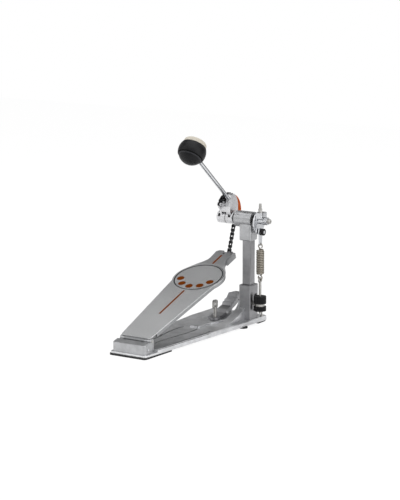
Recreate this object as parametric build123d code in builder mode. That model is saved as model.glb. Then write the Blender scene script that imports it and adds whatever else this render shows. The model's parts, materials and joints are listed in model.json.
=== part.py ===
from build123d import *
import math
import os

# Bass drum pedal. Millimetres, +X to the player's right, +Y toward the drum, +Z up.
# The origin is the middle of the heel rubber's underside.
os.makedirs("parts", exist_ok=True)

# ---------------------------------------------------------------- driving sizes
# Floor frame
rubber_height = 3.3
rubber_length = 80.0
rubber_half_width_front = 39.5
rubber_half_width_back = 44.0
rubber_corner_radius = 5.0
flange_height = 3.7
deck_height = 5.0
base_front_y = -38.0
base_back_y = 340.0
base_half_width_front = 38.5
base_right_half_width = 71.5
right_foot_x = 60.0
base_left_half_width = 56.0
base_left_y = 258.0
base_left_half_width_back = 52.0
deck_start_y = -3.0
platform_height = 3.0
platform_half_width = 16.0
groove_width = 3.4
groove_depth = 2.0
plate_floor = 4.2
foot_radius = 8.5
foot_y = 265.0
pad_length = 26.0
pad_width = 18.0
spur_x = 66.0
spur_y = 324.0
spur_radius = 1.5
spur_top = 28.0

# Heel block and hinge
heel_half_width = 35.5
heel_front_y = -35.0
heel_back_y = -18.0
heel_front_height = 24.0
heel_back_height = 28.0
hinge_y = -9.0
hinge_z = 27.0
hinge_pin_radius = 2.5
hinge_ear_radius = 4.9
left_ear_start = -33.5
left_ear_width = 8.8
right_ear_start = 19.0
right_ear_width = 15.0

# Footboard, laid out along its own slope
board_pitch = 18.4
board_start_y = -10.0
board_start_z = 34.6
board_thickness = 2.4
board_heel_half_width = 31.7
board_flare_half_width = 44.8
board_flare_u = 199.0
ring_u = 220.8
board_disc_radius = 51.0
ring_radius = 46.4
neck_half_width = 18.0
neck_u = 297.0
toe_half_width = 19.6
toe_u = 327.0
board_skirt = 8.0
neck_skirt = 10.8
neck_skirt_start_u = 262.0
board_wall = 2.6
toe_flange_depth = 13.2
toe_flange_start_u = 295.0
toe_notch_width = 16.5
toe_notch_depth = 4.5
toe_notch_x = 4.0
dot_radius = 7.4
dot_circle_radius = 34.5
inlay_depth = 0.8
stripe_width = 3.0

# Post
post_x = 52.0
post_y = 297.5
post_block_width = 25.6
post_block_depth = 30.1
post_block_top = 79.2
column_width = 18.0
column_corner = 1.8
column_bottom = 40.0
column_top = 186.0
head_bottom = 165.0
head_width = 26.0
head_corner = 3.0
socket_gap = 0.1

# Axle, hub, cam and beater holder
shaft_y = 297.6
shaft_z = 205.0
shaft_radius = 4.7
shaft_left = -14.4
shaft_right = 99.8
shaft_end_radius = 4.5
shaft_end_start = 95.2
housing_left = 26.5
housing_right = 63.3
housing_radius = 15.5
bearing_radius = 11.2
bearing_width = 7.0
running_gap = 0.05
collar_radius = 11.9
collar_split = 5.2
collar_left = -14.0
collar_right = 20.9
hub_screw_x = -8.0
holder_screw_x = 13.5
chain_x = 4.0
wheel_offset_y = -1.0
wheel_offset_z = 12.0
chain_radius = 33.0
cam_floor_radius = 28.3
cam_seat_radius = 29.5
cam_inner_radius = 22.0
cam_flange_offset_y = 7.0
cam_flange_offset_z = 8.0
cam_flange_radius = 35.2
cam_groove_half = 3.7
cam_flange_thickness = 1.6
holder_left = 9.6
holder_right = 19.2
holder_front_y = 282.6
cam_end_turn = 118
seat_end_turn = 154

# Roller chain
link_pitch = 8.0
roller_radius = 2.4
link_pin_radius = 1.1
plate_half_height = 3.1
inner_plate_in = 1.3
inner_plate_out = 2.1
outer_plate_in = 2.2
outer_plate_out = 3.0
link_pin_half = 3.3
hanging_links = 9
moving_links = 3
cam_links = 9
toe_pin_offset_y = 4.0
toe_pin_offset_z = -78.0
toe_pin_radius = 1.6
toe_eye_along = 1.25
toe_eye_across = 2.8

# Beater
rod_x = 14.0
rod_entry_y = 283.7
rod_entry_z = 244.5
rod_back_lean = 50.7
rod_radius = 3.9
rod_inside_holder = 30.0
rod_to_ball = 165.5
ball_radius = 26.4
ball_lower_radius = 25.2
felt_face = 13.0
felt_thickness = 11.5
felt_radius = 22.2
felt_edge_radius = 17.5

# Spring side
disc_left = 68.9
disc_right = 71.5
disc_radius = 21.2
disc_offset_y = 6.6
disc_offset_z = -5.3
lever_hub_right = 74.8
clamp_right = 85.6
nut_width = 8.9
clamp_top = 221.0
spring_x = 79.2
spring_y = 295.0
spring_pin_z = 184.0
spring_pin_radius = 2.5
spring_pin_clearance = 1.8
roller_cap_radius = 6.6
strap_thickness = 2.2
strap_bottom = 158.0
spring_radius = 7.2
spring_wire = 1.0
spring_loop_half_width = 0.9
spring_loop_rest = 0.5
spring_top = 152.0
spring_bottom = 99.0
spring_loop_radius = 4.2
eye_radius = 4.0
eye_wire = 1.5
tension_bolt_radius = 2.5
tension_bolt_bottom = 25.0
knob_radius = 12.0
bracket_bottom = 39.2
bracket_top = 44.6
upper_knob_height = 14.4
lower_knob_height = 8.8

# Hoop clamp
jaw_left = -4.0
jaw_right = 18.0
jaw_pivot_y = 276.0
jaw_pivot_z = 23.0
jaw_pin_radius = 2.5
jaw_pad_bottom = 37.5
jaw_back_y = 347.0
screw_x = 12.0
screw_y = 240.0
screw_radius = 3.0
screw_loop_top = 54.0

# ---------------------------------------------------------------- derived places
base_bottom = rubber_height
flange_top = base_bottom + flange_height
deck_top = flange_top + deck_height
platform_top = deck_top + platform_height
rise = math.radians(board_pitch)
board_normal = (0, -math.sin(rise), math.cos(rise))
board_plane = Plane(
    origin=(0, board_start_y, board_start_z), x_dir=(1, 0, 0), z_dir=board_normal
)
lean = math.radians(rod_back_lean)
rod_direction = (0, -math.sin(lean), math.cos(lean))
strike_direction = (0, math.cos(lean), math.sin(lean))
wheel_y = shaft_y + wheel_offset_y
wheel_z = shaft_z + wheel_offset_z
toe_pin_y = shaft_y + toe_pin_offset_y
toe_pin_z = shaft_z + toe_pin_offset_z
ball_centre = (
    rod_x,
    rod_entry_y + rod_direction[1] * rod_to_ball,
    rod_entry_z + rod_direction[2] * rod_to_ball,
)
rod_end = (
    rod_x,
    rod_entry_y - rod_direction[1] * rod_inside_holder,
    rod_entry_z - rod_direction[2] * rod_inside_holder,
)

# The chain leaves the wheel along the line from the toe pin that just touches its circle.
reach_y = wheel_y - toe_pin_y
reach_z = wheel_z - toe_pin_z
reach = math.hypot(reach_y, reach_z)
free_length = math.sqrt(reach**2 - chain_radius**2)
chain_angle = math.atan2(reach_z, reach_y) - math.asin(chain_radius / reach)
chain_up = (math.cos(chain_angle), math.sin(chain_angle))
leave_y = toe_pin_y + free_length * chain_up[0]
leave_z = toe_pin_z + free_length * chain_up[1]
leave_angle = math.atan2(leave_z - wheel_z, leave_y - wheel_y)
link_angle = 2 * math.asin(link_pitch / 2 / chain_radius)


def side_plane(x):
    """Upright plane across X, with its own axes along Y and Z."""
    return Plane(origin=(x, 0, 0), x_dir=(0, 1, 0), z_dir=(1, 0, 0))


def wrapped_pin(index):
    """Where pin number index sits on the wheel, counted up from where the chain leaves it."""
    angle = leave_angle + index * link_angle
    return (wheel_y + chain_radius * math.cos(angle), wheel_z + chain_radius * math.sin(angle))


def hanging_pin(index):
    """Where pin number index sits on the free run of chain, counted down from the wheel."""
    return (
        leave_y - index * link_pitch * chain_up[0],
        leave_z - index * link_pitch * chain_up[1],
    )


def link_frame(low, high, x):
    """Plane on a link: its origin halfway, local x along the link, normal across the chain."""
    middle = ((low[0] + high[0]) / 2, (low[1] + high[1]) / 2)
    return Plane(
        origin=(x, middle[0], middle[1]),
        x_dir=(0, high[0] - low[0], high[1] - low[1]),
        z_dir=(1, 0, 0),
    )


def add_link_plate(low, high, start, thickness, bore):
    """One flat side plate with cut corners, added to the open part."""
    half = link_pitch / 2
    corner = plate_half_height * 0.55
    tip = half + plate_half_height
    with BuildSketch(link_frame(low, high, start)) as plate:
        with BuildLine():
            Polyline(
                (-tip, -plate_half_height + corner),
                (-tip + corner, -plate_half_height),
                (tip - corner, -plate_half_height),
                (tip, -plate_half_height + corner),
                (tip, plate_half_height - corner),
                (tip - corner, plate_half_height),
                (-tip + corner, plate_half_height),
                (-tip, plate_half_height - corner),
                close=True,
            )
        make_face()
        if bore:
            with Locations((-half, 0), (half, 0)):
                Circle(bore, mode=Mode.SUBTRACT)
    extrude(plate.sketch, amount=thickness)


def add_inner_link(low, high):
    """Two inner plates and the two rollers between them, bored for the pins."""
    bore = link_pin_radius + running_gap
    half = link_pitch / 2
    thickness = inner_plate_out - inner_plate_in
    add_link_plate(low, high, chain_x - inner_plate_out, thickness, bore)
    add_link_plate(low, high, chain_x + inner_plate_in, thickness, bore)
    with BuildSketch(link_frame(low, high, chain_x - inner_plate_in)) as rollers:
        with Locations((-half, 0), (half, 0)):
            Circle(roller_radius)
            Circle(bore, mode=Mode.SUBTRACT)
    extrude(rollers.sketch, amount=2 * inner_plate_in)


def add_outer_link(low, high):
    """Two outer plates joined by the two pins."""
    half = link_pitch / 2
    thickness = outer_plate_out - outer_plate_in
    add_link_plate(low, high, chain_x - outer_plate_out, thickness, 0)
    add_link_plate(low, high, chain_x + outer_plate_in, thickness, 0)
    with BuildSketch(link_frame(low, high, chain_x - link_pin_half)) as pins:
        with Locations((-half, 0), (half, 0)):
            Circle(link_pin_radius)
    extrude(pins.sketch, amount=2 * link_pin_half)


# ---------------------------------------------------------------- heel rubber
with BuildPart() as heel_rubber:
    with BuildSketch() as heel_outline:
        with BuildLine():
            Polyline(
                (-rubber_half_width_front, -rubber_length / 2),
                (rubber_half_width_front, -rubber_length / 2),
                (rubber_half_width_back, rubber_length / 2),
                (-rubber_half_width_back, rubber_length / 2),
                close=True,
            )
        make_face()
        fillet(heel_outline.vertices().sort_by(Axis.Y)[:2], rubber_corner_radius)
    extrude(amount=rubber_height)
heel_rubber.part.label = "heel rubber"
export_step(heel_rubber.part, "parts/heel_rubber.step")

# ---------------------------------------------------------------- feet under the deck
with BuildPart() as deck_feet:
    with BuildSketch():
        with Locations((right_foot_x, foot_y), (4.5 - base_left_half_width, foot_y)):
            Circle(foot_radius)
        with Locations((4.5 + pad_width / 2 - base_left_half_width_back, base_back_y - 20)):
            Rectangle(pad_width, pad_length)
        with Locations((base_right_half_width - 4.5 - pad_width / 2, base_back_y - 16)):
            Rectangle(pad_width, pad_length)
    extrude(amount=rubber_height)
deck_feet.part.label = "rubber feet"
export_step(deck_feet.part, "parts/deck_feet.step")

# ---------------------------------------------------------------- cast floor plate
with BuildPart() as base_plate:
    with BuildSketch(Plane.XY.offset(base_bottom)) as plate_outline:
        with BuildLine():
            Polyline(
                (-base_half_width_front, base_front_y),
                (base_half_width_front, base_front_y),
                (base_right_half_width, base_back_y),
                (-base_left_half_width_back, base_back_y),
                (-base_left_half_width, base_left_y),
                close=True,
            )
        make_face()
        fillet(plate_outline.vertices().group_by(Axis.Y)[0], 5)
        fillet(plate_outline.vertices().group_by(Axis.Y)[-1], 8)
    extrude(amount=flange_height + deck_height)
    chamfer(base_plate.edges().group_by(Axis.Z)[-1], 1.4)
    # The heel end is only a thin flange round the heel block.
    with BuildSketch(Plane.XY.offset(flange_top)):
        with Locations((0, base_front_y)):
            Rectangle(120, 2 * (deck_start_y - base_front_y))
    extrude(amount=30, mode=Mode.SUBTRACT)
    # A raised spine runs up the middle and widens under the hoop clamp.
    with BuildSketch(Plane.XY.offset(deck_top)) as spine:
        with BuildLine():
            Polyline(
                (-6, 178),
                (platform_half_width - 2, 178),
                (platform_half_width + 2, 214),
                (platform_half_width + 12, 246),
                (34, 262),
                (34, 300),
                (-24, 300),
                (-24, 252),
                (-13, 236),
                close=True,
            )
        make_face()
        fillet(spine.vertices(), 3)
    extrude(amount=platform_height)
    chamfer(base_plate.edges().group_by(Axis.Z)[-1], 0.8)
    # A hollow curved gusset climbs from the deck into the post.
    with BuildSketch(side_plane(34)):
        with BuildLine() as gusset:
            Spline((215, deck_top), (244, 19), (266, 26), (281, 33), (290, 46))
            Line((290, 46), (290, deck_top))
            Line((290, deck_top), (215, deck_top))
        make_face()
    extrude(amount=18)
    # Four long grooves in the deck, and two short ones.
    for side in (1, -1):
        for path in (
            ((12.5, 21), (13.6, 97), (18, 141), (15.5, 172)),
            ((35, 31), (40.5, 56), (44, 99), (47.5, 143), (46, 168)),
        ):
            with BuildSketch(Plane.XY.offset(deck_top - groove_depth)) as groove:
                with BuildLine():
                    Spline([(side * x - groove_width / 2, y) for x, y in path])
                    Line(
                        (side * path[-1][0] - groove_width / 2, path[-1][1]),
                        (side * path[-1][0] + groove_width / 2, path[-1][1]),
                    )
                    Spline([(side * x + groove_width / 2, y) for x, y in reversed(path)])
                    Line(
                        (side * path[0][0] + groove_width / 2, path[0][1]),
                        (side * path[0][0] - groove_width / 2, path[0][1]),
                    )
                make_face()
            extrude(amount=groove_depth + 1, mode=Mode.SUBTRACT)
    # The underside is open between ribs, as a casting is.
    with BuildSketch(Plane.XY.offset(base_bottom)):
        for row, reach_x in ((70, 36), (118, 40), (166, 43), (214, 47)):
            with Locations((reach_x / 2 + 1, row), (-reach_x / 2 - 1, row)):
                RectangleRounded(reach_x - 4, 40, 4)
    extrude(amount=deck_top - base_bottom - plate_floor - groove_depth, mode=Mode.SUBTRACT)
    # Seat for the post block, and the thread of the spur.
    with BuildSketch(Plane.XY.offset(base_bottom)):
        with Locations((post_x, post_y)):
            Rectangle(post_block_width, post_block_depth)
    extrude(amount=60, mode=Mode.SUBTRACT)
    with BuildSketch(Plane.XY.offset(base_bottom)):
        with Locations((spur_x, spur_y)):
            Circle(spur_radius)
    extrude(amount=20, mode=Mode.SUBTRACT)
    # Clearance hollow under the jaw's pivot.
    with BuildSketch(Plane.XY.offset(deck_top)):
        with Locations(((jaw_left + jaw_right) / 2, (jaw_pivot_y + 300) / 2 + 12)):
            Rectangle(jaw_right - jaw_left + 2, 300 - jaw_pivot_y + 24)
    extrude(amount=platform_height + 1, mode=Mode.SUBTRACT)
base_plate.part.label = "cast floor plate"
export_step(base_plate.part, "parts/base_plate.step")

# ---------------------------------------------------------------- floor spur
with BuildPart() as floor_spur:
    with BuildSketch(Plane.XY.offset(base_bottom)):
        with Locations((spur_x, spur_y)):
            Circle(spur_radius)
    extrude(amount=spur_top - base_bottom)
    with BuildSketch(Plane.XY.offset(deck_top)):
        with Locations((spur_x, spur_y)):
            RegularPolygon(3.0, 6)
    extrude(amount=2.2)
floor_spur.part.label = "threaded floor spur"
export_step(floor_spur.part, "parts/floor_spur.step")

# ---------------------------------------------------------------- heel block
with BuildPart() as heel_block:
    with BuildSketch(side_plane(-heel_half_width)) as heel_side:
        with BuildLine():
            Polyline(
                (heel_front_y, flange_top),
                (heel_front_y, heel_front_height),
                (heel_back_y, heel_back_height),
                (heel_back_y, flange_top),
                close=True,
            )
        make_face()
    extrude(amount=2 * heel_half_width)
    fillet(heel_block.edges().filter_by(Axis.Z).group_by(Axis.Y)[0], 4.5)
    fillet(heel_block.faces().sort_by(Axis.Z)[-1].edges(), 2)
    # Two ears hold the hinge pin.
    for start, width in ((left_ear_start, left_ear_width), (right_ear_start, right_ear_width)):
        with BuildSketch(side_plane(start)):
            with Locations((hinge_y, hinge_z)):
                Circle(hinge_ear_radius)
            with BuildLine():
                Polyline(
                    (heel_back_y - 2, flange_top),
                    (hinge_y + hinge_ear_radius, flange_top),
                    (hinge_y + hinge_ear_radius, hinge_z),
                    (hinge_y, hinge_z + 1),
                    (heel_back_y - 2, hinge_z - 3),
                    close=True,
                )
            make_face()
        extrude(amount=width)
    with BuildSketch(side_plane(-60)):
        with Locations((hinge_y, hinge_z)):
            Circle(hinge_pin_radius)
    extrude(amount=120, mode=Mode.SUBTRACT)
    with BuildSketch(side_plane(heel_half_width - 2)):
        with Locations(((heel_front_y + heel_back_y) / 2 + 3, 15)):
            Circle(2.2)
    extrude(amount=4, mode=Mode.SUBTRACT)
heel_block.part.label = "heel block with hinge ears"
export_step(heel_block.part, "parts/heel_block.step")

with BuildPart() as heel_screws:
    with BuildSketch(side_plane(heel_half_width - 2)):
        with Locations(((heel_front_y + heel_back_y) / 2 + 3, 15)):
            Circle(2.2)
    extrude(amount=2.5)
heel_screws.part.label = "heel block screw"
export_step(heel_screws.part, "parts/heel_screw.step")

with BuildPart() as hinge_pin:
    with BuildSketch(side_plane(left_ear_start - 1)):
        with Locations((hinge_y, hinge_z)):
            Circle(hinge_pin_radius)
    extrude(amount=right_ear_start + right_ear_width - left_ear_start + 2)
    chamfer(hinge_pin.edges(), 0.4)
hinge_pin.part.label = "heel hinge pin"
export_step(hinge_pin.part, "parts/hinge_pin.step")


# ---------------------------------------------------------------- footboard
def board_outline(inset):
    """Outline lines of the footboard: flared heel, round middle, narrow neck and toe."""
    disc = board_disc_radius - inset
    heel = board_heel_half_width - inset
    neck = neck_half_width - inset
    toe = toe_half_width - inset
    end_u = toe_u - inset
    join_x = math.sqrt(disc**2 - (board_flare_u - ring_u) ** 2)
    shoulder_u = ring_u + 0.55 * disc
    shoulder_x = math.sqrt(disc**2 - (shoulder_u - ring_u) ** 2)
    for side in (1, -1):
        Line((side * heel, 0), (side * join_x, board_flare_u))
        ThreePointArc(
            (side * join_x, board_flare_u),
            (side * disc, ring_u),
            (side * shoulder_x, shoulder_u),
        )
        Spline(
            (side * shoulder_x, shoulder_u),
            (side * (shoulder_x * 0.5 + neck * 0.5), shoulder_u + 20.7),
            (side * neck, neck_u),
            tangents=[(-side * 0.55, 0.835), (0, 1)],
        )
        Line((side * neck, neck_u), (side * toe, toe_u - 5))
        Line((side * toe, toe_u - 5), (side * (toe - 5), end_u))
        Line((side * heel, 0), (side * (heel - 4), -4))
    Line((-toe + 5, end_u), (toe - 5, end_u))
    Line((-heel + 4, -4), (heel - 4, -4))


dots = []
for turn in (-20, -55, -90, -125, -160):
    angle = math.radians(turn)
    dots.append((dot_circle_radius * math.cos(angle), ring_u + dot_circle_radius * math.sin(angle)))

with BuildPart() as footboard:
    with BuildSketch(board_plane.offset(-board_thickness)):
        with BuildLine():
            board_outline(0)
        make_face()
    extrude(amount=board_thickness)
    # Down-turned rim all round, open at the heel.
    with BuildSketch(board_plane.offset(-board_skirt)):
        with BuildLine():
            board_outline(0)
        make_face()
        with BuildLine():
            board_outline(board_wall)
        make_face(mode=Mode.SUBTRACT)
        with Locations((0, 2)):
            Rectangle(100, 30, mode=Mode.SUBTRACT)
        with Locations((0, toe_u)):
            Rectangle(100, 8, mode=Mode.SUBTRACT)
    extrude(amount=board_skirt - board_thickness)
    # The rim runs deeper along the neck, down to the toe cheeks.
    with BuildSketch(board_plane.offset(-neck_skirt)):
        with BuildLine():
            board_outline(0)
        make_face()
        with BuildLine():
            board_outline(board_wall)
        make_face(mode=Mode.SUBTRACT)
        with Locations((0, neck_skirt_start_u - 150)):
            Rectangle(120, 300, mode=Mode.SUBTRACT)
        with Locations((0, toe_u)):
            Rectangle(100, 8, mode=Mode.SUBTRACT)
    extrude(amount=neck_skirt - board_skirt + 0.5)
    # Stiffening ribs underneath.
    with BuildSketch(board_plane.offset(-board_skirt + 1)):
        with Locations((0, 150)):
            Rectangle(2.6, 262)
        with Locations((0, 60)):
            Rectangle(69, 2.6)
        with Locations((0, 120)):
            Rectangle(76, 2.6)
        with Locations((0, 180)):
            Rectangle(83, 2.6)
    extrude(amount=board_skirt - 1 - board_thickness)
    # Deep cheeks at the toe that carry the chain pin.
    with BuildSketch(board_plane.offset(-toe_flange_depth)):
        for side in (1, -1):
            with Locations((side * (toe_half_width - board_wall / 2), (toe_flange_start_u + toe_u) / 2)):
                Rectangle(board_wall, toe_u - toe_flange_start_u + 1)
    extrude(amount=toe_flange_depth - board_thickness)
    # Barrel round the hinge pin, blended up into the plate.
    with BuildSketch(side_plane(left_ear_start + left_ear_width + 0.4)):
        with Locations((hinge_y, hinge_z)):
            Circle(hinge_ear_radius)
        with BuildLine():
            Polyline(
                (hinge_y - hinge_ear_radius, hinge_z),
                (hinge_y + hinge_ear_radius, hinge_z),
                (hinge_y + hinge_ear_radius, hinge_z + 6.6),
                (hinge_y - hinge_ear_radius + 1, hinge_z + 4.6),
                close=True,
            )
        make_face()
    extrude(amount=right_ear_start - left_ear_start - left_ear_width - 0.8)
    with BuildSketch(side_plane(-60)):
        with Locations((hinge_y, hinge_z)):
            Circle(hinge_pin_radius + running_gap)
    extrude(amount=120, mode=Mode.SUBTRACT)
    # Notch for the chain, and the toe pin's hole.
    with BuildSketch(board_plane.offset(-board_skirt)):
        with Locations((toe_notch_x, toe_u)):
            RectangleRounded(toe_notch_width, 2 * toe_notch_depth, 2)
        with Locations((0, toe_u - 11.5)):
            Circle(1.4)
    extrude(amount=20, mode=Mode.SUBTRACT)
    with BuildSketch(side_plane(-60)):
        with Locations((toe_pin_y, toe_pin_z)):
            Circle(toe_pin_radius)
    extrude(amount=120, mode=Mode.SUBTRACT)
    # Ring line, and the seats of the round and straight inlays.
    with BuildSketch(board_plane):
        with Locations((0, ring_u)):
            Circle(ring_radius + 0.6)
            Circle(ring_radius - 0.6, mode=Mode.SUBTRACT)
    extrude(amount=-0.6, mode=Mode.SUBTRACT)
    with BuildSketch(board_plane):
        with Locations(*dots):
            Circle(dot_radius)
        with Locations((0, 124.5)):
            Rectangle(stripe_width, 89)
        with Locations((0, 292)):
            Rectangle(stripe_width, 35)
    extrude(amount=-inlay_depth, mode=Mode.SUBTRACT)
footboard.part.label = "footboard"
export_step(footboard.part, "parts/footboard.step")

with BuildPart() as footboard_dots:
    with BuildSketch(board_plane):
        with Locations(*dots):
            Circle(dot_radius)
    extrude(amount=-inlay_depth)
footboard_dots.part.label = "round grip inlays"
export_step(footboard_dots.part, "parts/footboard_dots.step")

with BuildPart() as footboard_stripes:
    with BuildSketch(board_plane):
        with Locations((0, 124.5)):
            Rectangle(stripe_width, 89)
        with Locations((0, 292)):
            Rectangle(stripe_width, 35)
    extrude(amount=-inlay_depth)
footboard_stripes.part.label = "straight inlays"
export_step(footboard_stripes.part, "parts/footboard_stripes.step")

with BuildPart() as toe_pin:
    with BuildSketch(side_plane(-toe_half_width)):
        with Locations((toe_pin_y, toe_pin_z)):
            Circle(toe_pin_radius)
    extrude(amount=2 * toe_half_width)
toe_pin.part.label = "toe pin"
export_step(toe_pin.part, "parts/toe_pin.step")

# ---------------------------------------------------------------- post
with BuildPart() as post_block:
    with BuildSketch(Plane.XY.offset(base_bottom)):
        with Locations((post_x, post_y)):
            Rectangle(post_block_width, post_block_depth)
    extrude(amount=post_block_top - base_bottom)
    fillet(post_block.edges().filter_by(Axis.Z), 2.5)
    fillet(post_block.edges().group_by(Axis.Z)[-1], 1.6)
    with BuildSketch(Plane.XY.offset(column_bottom)):
        with Locations((post_x, post_y)):
            RectangleRounded(
                column_width + 2 * socket_gap, column_width + 2 * socket_gap, column_corner
            )
    extrude(amount=60, mode=Mode.SUBTRACT)
    # Recess in the outer side for the spring bracket.
    with BuildSketch(side_plane(post_x + post_block_width / 2 - 3)):
        with Locations((post_y + 2, 45)):
            RectangleRounded(15, 32, 2)
    extrude(amount=4, mode=Mode.SUBTRACT)
post_block.part.label = "post block"
export_step(post_block.part, "parts/post_block.step")

with BuildPart() as post_column:
    with BuildSketch(Plane.XY.offset(column_bottom)):
        with Locations((post_x, post_y)):
            RectangleRounded(column_width, column_width, column_corner)
    extrude(amount=column_top - column_bottom)
post_column.part.label = "post column"
export_step(post_column.part, "parts/post_column.step")

with BuildPart() as post_head:
    with BuildSketch(Plane.XY.offset(head_bottom)):
        with Locations((post_x - 1, post_y)):
            RectangleRounded(head_width, head_width, head_corner)
    extrude(amount=shaft_z - head_bottom)
    fillet(post_head.edges().group_by(Axis.Z)[0], 2.5)
    with BuildSketch(side_plane(housing_left)):
        with Locations((shaft_y, shaft_z)):
            Circle(housing_radius)
    extrude(amount=housing_right - housing_left)
    with BuildSketch(side_plane(housing_left)):
        with Locations((shaft_y, shaft_z)):
            Circle(bearing_radius)
    extrude(amount=60, mode=Mode.SUBTRACT)
    with BuildSketch(Plane.XY.offset(head_bottom - 1)):
        with Locations((post_x, post_y)):
            RectangleRounded(
                column_width + 2 * socket_gap, column_width + 2 * socket_gap, column_corner
            )
    extrude(amount=column_top - head_bottom + 1, mode=Mode.SUBTRACT)
post_head.part.label = "bearing head"
export_step(post_head.part, "parts/post_head.step")

with BuildPart() as shaft_bearings:
    for start in (housing_left + 0.5, housing_right - 0.5 - bearing_width):
        with BuildSketch(side_plane(start)):
            with Locations((shaft_y, shaft_z)):
                Circle(bearing_radius)
                Circle(shaft_radius + running_gap, mode=Mode.SUBTRACT)
        extrude(amount=bearing_width)
shaft_bearings.part.label = "shaft bearings"
export_step(shaft_bearings.part, "parts/shaft_bearings.step")

# ---------------------------------------------------------------- axle and hub
with BuildPart() as main_shaft:
    with BuildSketch(side_plane(shaft_left)):
        with Locations((shaft_y, shaft_z)):
            Circle(shaft_radius)
    extrude(amount=shaft_end_start - shaft_left)
    # Turned-down bare end.
    with BuildSketch(side_plane(shaft_end_start)):
        with Locations((shaft_y, shaft_z)):
            Circle(shaft_end_radius)
    extrude(amount=shaft_right - shaft_end_start)
    chamfer(main_shaft.edges().group_by(Axis.X)[-1], 0.8)
    chamfer(main_shaft.edges().group_by(Axis.X)[0], 0.8)
main_shaft.part.label = "axle"
export_step(main_shaft.part, "parts/main_shaft.step")

cam_left = chain_x - cam_groove_half - cam_flange_thickness
cam_right = chain_x + cam_groove_half + cam_flange_thickness
set_screw_direction = (0, -math.cos(math.radians(35)), math.sin(math.radians(35)))


def add_set_screw_hole(x):
    """Threaded hole that faces the player, a little upward."""
    plane = Plane(origin=(x, shaft_y, shaft_z), x_dir=(1, 0, 0), z_dir=set_screw_direction)
    with BuildSketch(plane) as hole:
        Circle(1.9)
    extrude(hole.sketch, amount=collar_radius + 2, mode=Mode.SUBTRACT)


def cam_sector(radius_centre, radius, inner, turns):
    """Arc-shaped slice of the wheel between the first and the last of the given turns."""
    with Locations(radius_centre):
        Circle(radius)
    with BuildLine() as wedge:
        points = [(wheel_y, wheel_z)]
        for turn in turns:
            angle = math.radians(turn)
            points.append((wheel_y + 70 * math.cos(angle), wheel_z + 70 * math.sin(angle)))
        Polyline(*points, close=True)
    make_face(wedge.edges(), mode=Mode.INTERSECT)
    with Locations((wheel_y, wheel_z)):
        Circle(inner, mode=Mode.SUBTRACT)


far_pin = wrapped_pin(moving_links + cam_links)
ear_low = math.radians(152)
ear_high = math.radians(136)
flange_centre = (shaft_y + cam_flange_offset_y, shaft_z + cam_flange_offset_z)
cam_turns = (-29, 8, 45, 82, cam_end_turn)
seat_turns = (cam_end_turn + 0.5, (cam_end_turn + seat_end_turn) / 2, seat_end_turn)
with BuildPart() as cam_hub:
    with BuildSketch(side_plane(collar_left)):
        with Locations((shaft_y, shaft_z)):
            Circle(collar_radius)
    extrude(amount=collar_split - 0.15 - collar_left)
    chamfer(cam_hub.edges().group_by(Axis.X)[0], 1.2)
    # The web rises from the collar to the back of the cam.
    with BuildSketch(side_plane(cam_left - 3.4)) as web:
        with BuildLine():
            Polyline(
                (shaft_y - 11, shaft_z + 4),
                (holder_front_y, shaft_z + 16),
                (holder_front_y - 6, shaft_z + 22),
                (holder_front_y - 6, shaft_z + 33),
                (holder_front_y, shaft_z + 38),
                (wheel_y - 6, wheel_z + 31),
                (wheel_y + 14, wheel_z + 28),
                (wheel_y + 30, wheel_z + 4),
                (wheel_y + 26, wheel_z - 10),
                (shaft_y + 11, shaft_z - 4),
                close=True,
            )
        make_face()
        fillet(web.vertices(), 2)
    extrude(amount=3.4)
    # Seat under the chain's fixed end, between the cam and the anchor pin.
    with BuildSketch(side_plane(cam_left - 0.2)):
        cam_sector((wheel_y, wheel_z), cam_floor_radius, cam_inner_radius, seat_turns)
    extrude(amount=chain_x + cam_groove_half - cam_left + 0.2)
    # Two ears reach out to the pin that holds the chain's last link.
    for start in (chain_x - cam_groove_half, chain_x + outer_plate_in + 0.1):
        with BuildSketch(side_plane(start)):
            with Locations(far_pin):
                Circle(3.2)
            with BuildLine():
                Polyline(
                    (far_pin[0] - 1.6, far_pin[1] - 2.8),
                    (wheel_y + 23 * math.cos(ear_low), wheel_z + 23 * math.sin(ear_low)),
                    (wheel_y + 23 * math.cos(ear_high), wheel_z + 23 * math.sin(ear_high)),
                    (far_pin[0] + 1.6, far_pin[1] + 2.8),
                    close=True,
                )
            make_face()
            with Locations(far_pin):
                Circle(link_pin_radius, mode=Mode.SUBTRACT)
        extrude(amount=cam_groove_half - outer_plate_in - 0.1)
    with BuildSketch(side_plane(-60)):
        with Locations((shaft_y, shaft_z)):
            Circle(shaft_radius)
    extrude(amount=120, mode=Mode.SUBTRACT)
    add_set_screw_hole(hub_screw_x)
cam_hub.part.label = "cam hub"
export_step(cam_hub.part, "parts/cam_hub.step")

with BuildPart() as cam:
    for start in (cam_left, cam_right - cam_flange_thickness):
        with BuildSketch(side_plane(start)):
            cam_sector(flange_centre, cam_flange_radius, cam_inner_radius, cam_turns)
        extrude(amount=cam_flange_thickness)
    with BuildSketch(side_plane(chain_x - cam_groove_half)):
        cam_sector((wheel_y, wheel_z), cam_floor_radius, cam_inner_radius, cam_turns)
    extrude(amount=2 * cam_groove_half)
cam.part.label = "chain cam"
export_step(cam.part, "parts/cam.step")

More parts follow.
